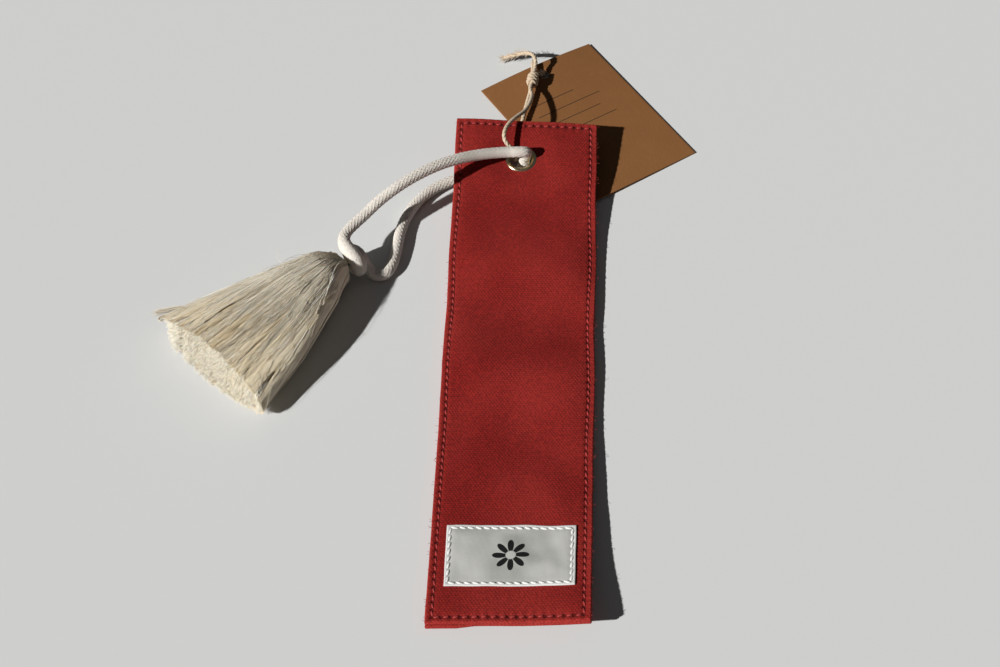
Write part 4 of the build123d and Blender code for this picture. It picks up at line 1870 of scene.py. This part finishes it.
@dataclass
class Card(Hung):
    """Swing tag: a thin card that the twine under it bows a little."""

    corner: tuple[float, float] = (20.4, -14.9)
    size: tuple[float, float] = (43.0, 61.0)
    heading: float = 124.7
    thickness: float = 0.4
    hole: float = 2.0
    hole_from_edge: float = 5.0
    heights: tuple[float, float, float, float] = (0.9, 0.05, 2.0, 0.25)
    bow: float = 0.9

    def underside(self, x: float, y: float) -> float:
        """Height of the card's underside, from the heights of its corners.

        Args:
            x: place across the card.
            y: place along the card.

        Returns:
            The height, in millimetres.
        """
        u = x / self.size[0]
        v = y / self.size[1]
        near = mixed(*self.heights[:2], u)
        far = mixed(*self.heights[2:], u)
        return mixed(near, far, v) + self.bow * math.sin(math.pi * clamp(u)) * max(v, 0.0) ** 3

    def place(self, x: float, y: float, height: float) -> Vector:
        """Place in metres, from the corner under the strip."""
        out_x, out_y = swung(y, -x, self.heading)
        return self.beside(self.corner[0] + out_x, self.corner[1] + out_y, self.underside(x, y) + height)

    def eye(self) -> tuple[float, float]:
        """Middle of the punched hole on the card."""
        return self.size[0] / 2, self.size[1] - self.hole_from_edge

    def build(self, finish: bpy.types.Material) -> bpy.types.Object:
        """Builds the card.

        Args:
            finish: board material.

        Returns:
            The card's piece.
        """
        slab = Slab((0.0, self.size[0]), (0.0, self.size[1]), (0.0, self.thickness), cell=0.8, rounding=0.06)
        mesh = slab.mesh("swing_tag", self.place)
        punch(mesh, self.place(*self.eye(), 0.0) / MM, self.hole)
        return add_piece("swing_tag_card", mesh, finish, Body.TAG, ["swing_tag"])


@dataclass
class Twine(Hung):
    """Three-ply twine of the tag: loop through the eyelet, knot, loop through the card and a free tail."""

    card: Card
    diameter: float = 1.4
    plies: int = 3
    twist: float = 4.2
    in_bore: tuple[float, float] = (-2.0, 1.8)
    arch: float = 8.7
    under: float = 2.7
    front: tuple[Point, ...] = (
        (-3.6, 3.0, 9.2), (-5.4, 3.9, 11.2), (-5.5, 6.8, 12.4), (-4.2, 10.5, 12.2), (-1.9, 14.6, 11.0),
        (0.8, 19.4, 8.9), (2.3, 25.2, 7.1), (2.8, 30.1, 5.9))
    back: tuple[Point, ...] = ((-0.1, 8.0, 2.7), (-0.8, 14.4, 3.0), (-0.2, 21.0, 3.4), (1.0, 27.6, 4.0))
    tail: tuple[Point, ...] = (
        (3.5, 45.4, 7.0), (2.4, 48.6, 6.6), (-0.4, 50.4, 5.2), (-3.8, 51.2, 3.4), (-7.2, 51.4, 1.8))
    knot_start: Point = (2.3, 35.2, 4.8)
    knot_length: float = 5.4
    knot_turn: float = 8.0
    spacing: float = 0.8
    wrap: float = 1.4
    wrap_turns: float = 3.2
    wrap_steps: int = 40
    loop_drop: float = 1.1
    fibres: int = 220
    fibre: float = 0.075
    seed: int = 11

    def about(self, along: float, out: float, angle: float) -> Vector:
        """Place about the knot's axis.

        Args:
            along: distance from the knot's panel end.
            out: distance from the axis.
            angle: angle from the upright, in radians.

        Returns:
            The place, in metres.
        """
        heading = math.radians(90 - self.knot_turn)
        axis = Vector((math.cos(heading), math.sin(heading), 0.0))
        aside = UP * math.cos(angle) + axis.cross(UP) * math.sin(angle)
        return self.beside(*self.knot_start) + (axis * along + aside * out) * MM

    def seat(self, along: float, turn: float, lead: float = 0.0) -> Vector:
        """Place in the knot at an angle in degrees, or a way out from it along the axis."""
        return self.about(along + lead, self.spacing, math.radians(turn))

    def route(self) -> Line:
        """Control points of the whole twine, from its knot to its free end.

        Returns:
            Points in metres.
        """
        long = self.knot_length
        lift = self.card.thickness + self.diameter
        x, hole = self.card.eye()
        edge = self.card.size[1] + self.diameter
        card = [self.card.place(x, edge, lift), self.card.place(x, edge, -self.loop_drop),
                self.card.place(x, hole, -self.loop_drop), self.card.place(x, hole, lift)]
        lead = 2 * self.diameter
        home = [self.seat(0.4 * long, 240), self.seat(long, 240), self.seat(long, 240, self.diameter)]
        out = [self.seat(long, 120, self.diameter), self.seat(long, 120), self.seat(0.5 * long, 60)]
        over = [self.beside(*place) for place in reversed(self.front)]
        eye = [self.beside(*self.in_bore, self.arch), self.beside(*self.in_bore, self.under)]
        under = [self.beside(*place) for place in self.back]
        tail = [self.beside(*place) for place in self.tail]
        return [*home, *card, *out, self.seat(0, 0), self.seat(0, 0, -lead), *over, *eye, *under,
                self.seat(0, 180, -lead), self.seat(0, 180), self.seat(0.5 * long, 300), self.seat(long, 0),
                self.seat(long, 0, lead), *tail]

    def strands(self, name: str, points: Sequence[Vector]) -> tuple[bpy.types.Mesh, Thread]:
        """Plies twisted about a line.

        Args:
            name: name of the mesh.
            points: points of the line, in metres.

        Returns:
            The mesh and the evenly spaced line.
        """
        line = Thread(points, 0.3 * MM)
        radius = self.diameter / 2 * MM
        ply = 0.6 * radius
        lines = []
        for k in range(self.plies):
            angles = [math.tau * (k / self.plies + i * line.step / (self.twist * MM))
                      for i in range(len(line.points))]
            lines.append([line.around(i, angle, radius - ply) for i, angle in enumerate(angles)])
        return tubes(name, lines, ply, 1), line

    def wraps(self) -> Line:
        """Line of the twine's turns around its knot.

        Returns:
            Points in metres.
        """
        points = []
        for i in range(self.wrap_steps + 1):
            angle = i / self.wrap_steps * self.wrap_turns * math.tau
            along = 0.8 + (self.knot_length - 1.6) * i / self.wrap_steps
            points.append(self.about(along, self.wrap, angle))
        return points

    def fray(self, line: Thread) -> bpy.types.Mesh:
        """Loose fibres along the free end and at its tip.

        Args:
            line: the twine's centre line.

        Returns:
            A mesh of thin fibres.
        """
        dice = random.Random(self.seed)
        last = len(line.points) - 1
        lines = []
        for i in range(self.fibres):
            index = last - (2 if i % 3 == 0 else round(dice.uniform(2, 34)))
            start = line.around(index, dice.uniform(0, math.tau), self.diameter * 0.35 * MM)
            ahead = (line.points[min(index + 2, last)] - line.points[index - 2]).normalized()
            out = (start - line.points[index]).normalized()
            reach = dice.uniform(0.8, 2.4) * MM
            spread = dice.uniform(0.15, 0.75)
            lines.append([start + (ahead * t + out * spread * t * t) * reach for t in (0.0, 0.35, 0.7, 1.0)])
        for points in lines:
            for point in points:
                point.z = max(point.z, 0.15 * MM)
        return tubes("twine_fray", lines, self.fibre * MM, 0, lambda share: 1.0 - 0.5 * share)

    def build(self, finish: bpy.types.Material) -> None:
        """Builds the twine and its knot.

        Args:
            finish: twine material.
        """
        route = self.route()
        mesh, line = self.strands("twine", smooth_line(route))
        nodes = ["twine_loop", "twine_tag_loop", "twine_tail"]
        twine = add_piece("twine_plies", mesh, finish, Body.TAG, nodes)
        fibres = add_piece("twine_fibres", self.fray(line), finish, Body.TAG)
        wound, _ = self.strands("twine_wraps", smooth_line(self.wraps()))
        knot = add_piece("twine_knot_wraps", wound, finish, Body.TAG, ["twine_knot"])


@dataclass(frozen=True)
class Stage:
    """Table, lamps and camera."""

    elevation: float = 50.971
    azimuth: float = 3.965
    roll: float = -2.488
    target: Point = (-5.962, 11.687, 0.0)
    distance: float = 635.412
    lens: float = 76.0
    sun_height: float = 33.0
    sun_turn: float = 34.0
    sun_power: float = 5.35
    sun_angle: float = 1.6
    sun_colour: Colour = (1.0, 0.99, 0.972)
    sky: float = 0.055
    sky_colour: Colour = (0.96, 0.98, 1.0)
    table_drop: float = 0.05
    table_size: float = 4.0

    def camera(self) -> None:
        """Places the camera at the photograph's viewpoint."""
        a, e, r = (math.radians(value) for value in (self.azimuth, self.elevation, self.roll))
        back = Vector((math.sin(a) * math.cos(e), -math.cos(a) * math.cos(e), math.sin(e)))
        level = Vector((math.cos(a), math.sin(a), 0.0))
        rise = back.cross(level)
        right = level * math.cos(r) + rise * math.sin(r)
        up = rise * math.cos(r) - level * math.sin(r)
        data = bpy.data.cameras.new("camera")
        data.sensor_fit = "HORIZONTAL"
        data.sensor_width = 36.0
        data.lens = self.lens
        data.clip_start = 0.01
        made = link("camera", data)
        spot = (Vector(self.target) + back * self.distance) * MM
        made.matrix_world = Matrix.Translation(spot) @ Matrix((right, up, back)).transposed().to_4x4()
        bpy.context.scene.camera = made

    def lamps(self) -> None:
        """Sets a key lamp low on the left and an even sky."""
        data = bpy.data.lights.new("key", "SUN")
        data.energy = self.sun_power
        data.angle = math.radians(self.sun_angle)
        data.color = self.sun_colour
        made = link("key", data)
        high = math.radians(self.sun_height)
        x, y = swung(-math.cos(high), 0.0, self.sun_turn)
        towards = Vector((x, y, math.sin(high)))
        made.rotation_euler = towards.to_track_quat("Z", "Y").to_euler()
        world = bpy.data.worlds.new("sky")
        world.use_nodes = True
        backdrop = world.node_tree.nodes["Background"]
        backdrop.inputs["Color"].default_value = rgba(self.sky_colour)
        backdrop.inputs["Strength"].default_value = self.sky
        bpy.context.scene.world = world
        bpy.context.scene.view_settings.view_transform = "Standard"

    def table(self) -> None:
        """Lays the table under the object."""
        shape = bmesh.new()
        bmesh.ops.create_grid(shape, x_segments=1, y_segments=1, size=self.table_size)
        bmesh.ops.translate(shape, vec=(0.0, 0.0, -self.table_drop * MM), verts=shape.verts)
        mesh = to_mesh("table", shape)
        mesh.materials.append(TableFinish().material())
        made = link("table", mesh)


def dress(node: bpy.types.Object, material: bpy.types.Material) -> None:
    """Gives a CAD node its finish.

    Args:
        node: the node's object.
        material: material that it gets.
    """
    node.data.materials.clear()
    node.data.materials.append(material)
    LOG.info("%s keeps its solid", node.name)


def main() -> None:
    """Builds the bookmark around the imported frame."""
    logging.basicConfig(level=logging.INFO, format="%(message)s")
    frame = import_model()
    stage = Stage()
    stage.camera()
    stage.lamps()
    stage.table()

    lie = Lie()
    cord = Cord(lie.eyelet())
    cotton = CottonFinish("cotton_cord", (0.690, 0.640, 0.575), (0.570, 0.520, 0.460), glow=0.15).material()
    braid = cord.build(cotton)
    card = Card(lie.eyelet())
    twine = Twine(lie.eyelet(), card)
    hemp = CottonFinish("twine", (0.580, 0.470, 0.345), (0.410, 0.315, 0.215), depth=0.0001).material()
    twine.build(hemp)

    strip = Strip(lie)
    canvas = CanvasFinish().material()
    strip.cloths(canvas)
    strip.core(FeltFinish().material())
    red = ThreadFinish("red_thread", (0.370, 0.028, 0.024), (0.230, 0.014, 0.012)).material()
    strip.seams(red)
    strip.lint(red)
    label = Label(strip)
    white = ThreadFinish("white_thread", (0.760, 0.755, 0.735), (0.610, 0.605, 0.585)).material()
    label.build(SatinFinish(middle=label.middle()).material(), white)

    brass = BrassFinish().material()
    for node in ("eyelet", "eyelet_washer"):
        dress(frame["nodes"][node], brass)

    knot = cord.beside(*cord.knot_place, 0.0) / MM
    tassel = Tassel(knot)
    fibre = {"heading": tassel.heading, "fibre": (130.0, 2600.0, 2600.0), "patch": 90.0, "glow": 0.3}
    yarns = {shade: CottonFinish(f"yarn_{shade.value}", *pair, **fibre).material()
             for shade, pair in YARN_COLOURS.items()}
    bundle = tassel.build(yarns)
    cord.route()[0]

    kraft = KraftFinish(heading=card.heading, corner=card.place(0.0, 0.0, 0.0))
    card.build(kraft.material())


if __name__ == "__main__":
    main()
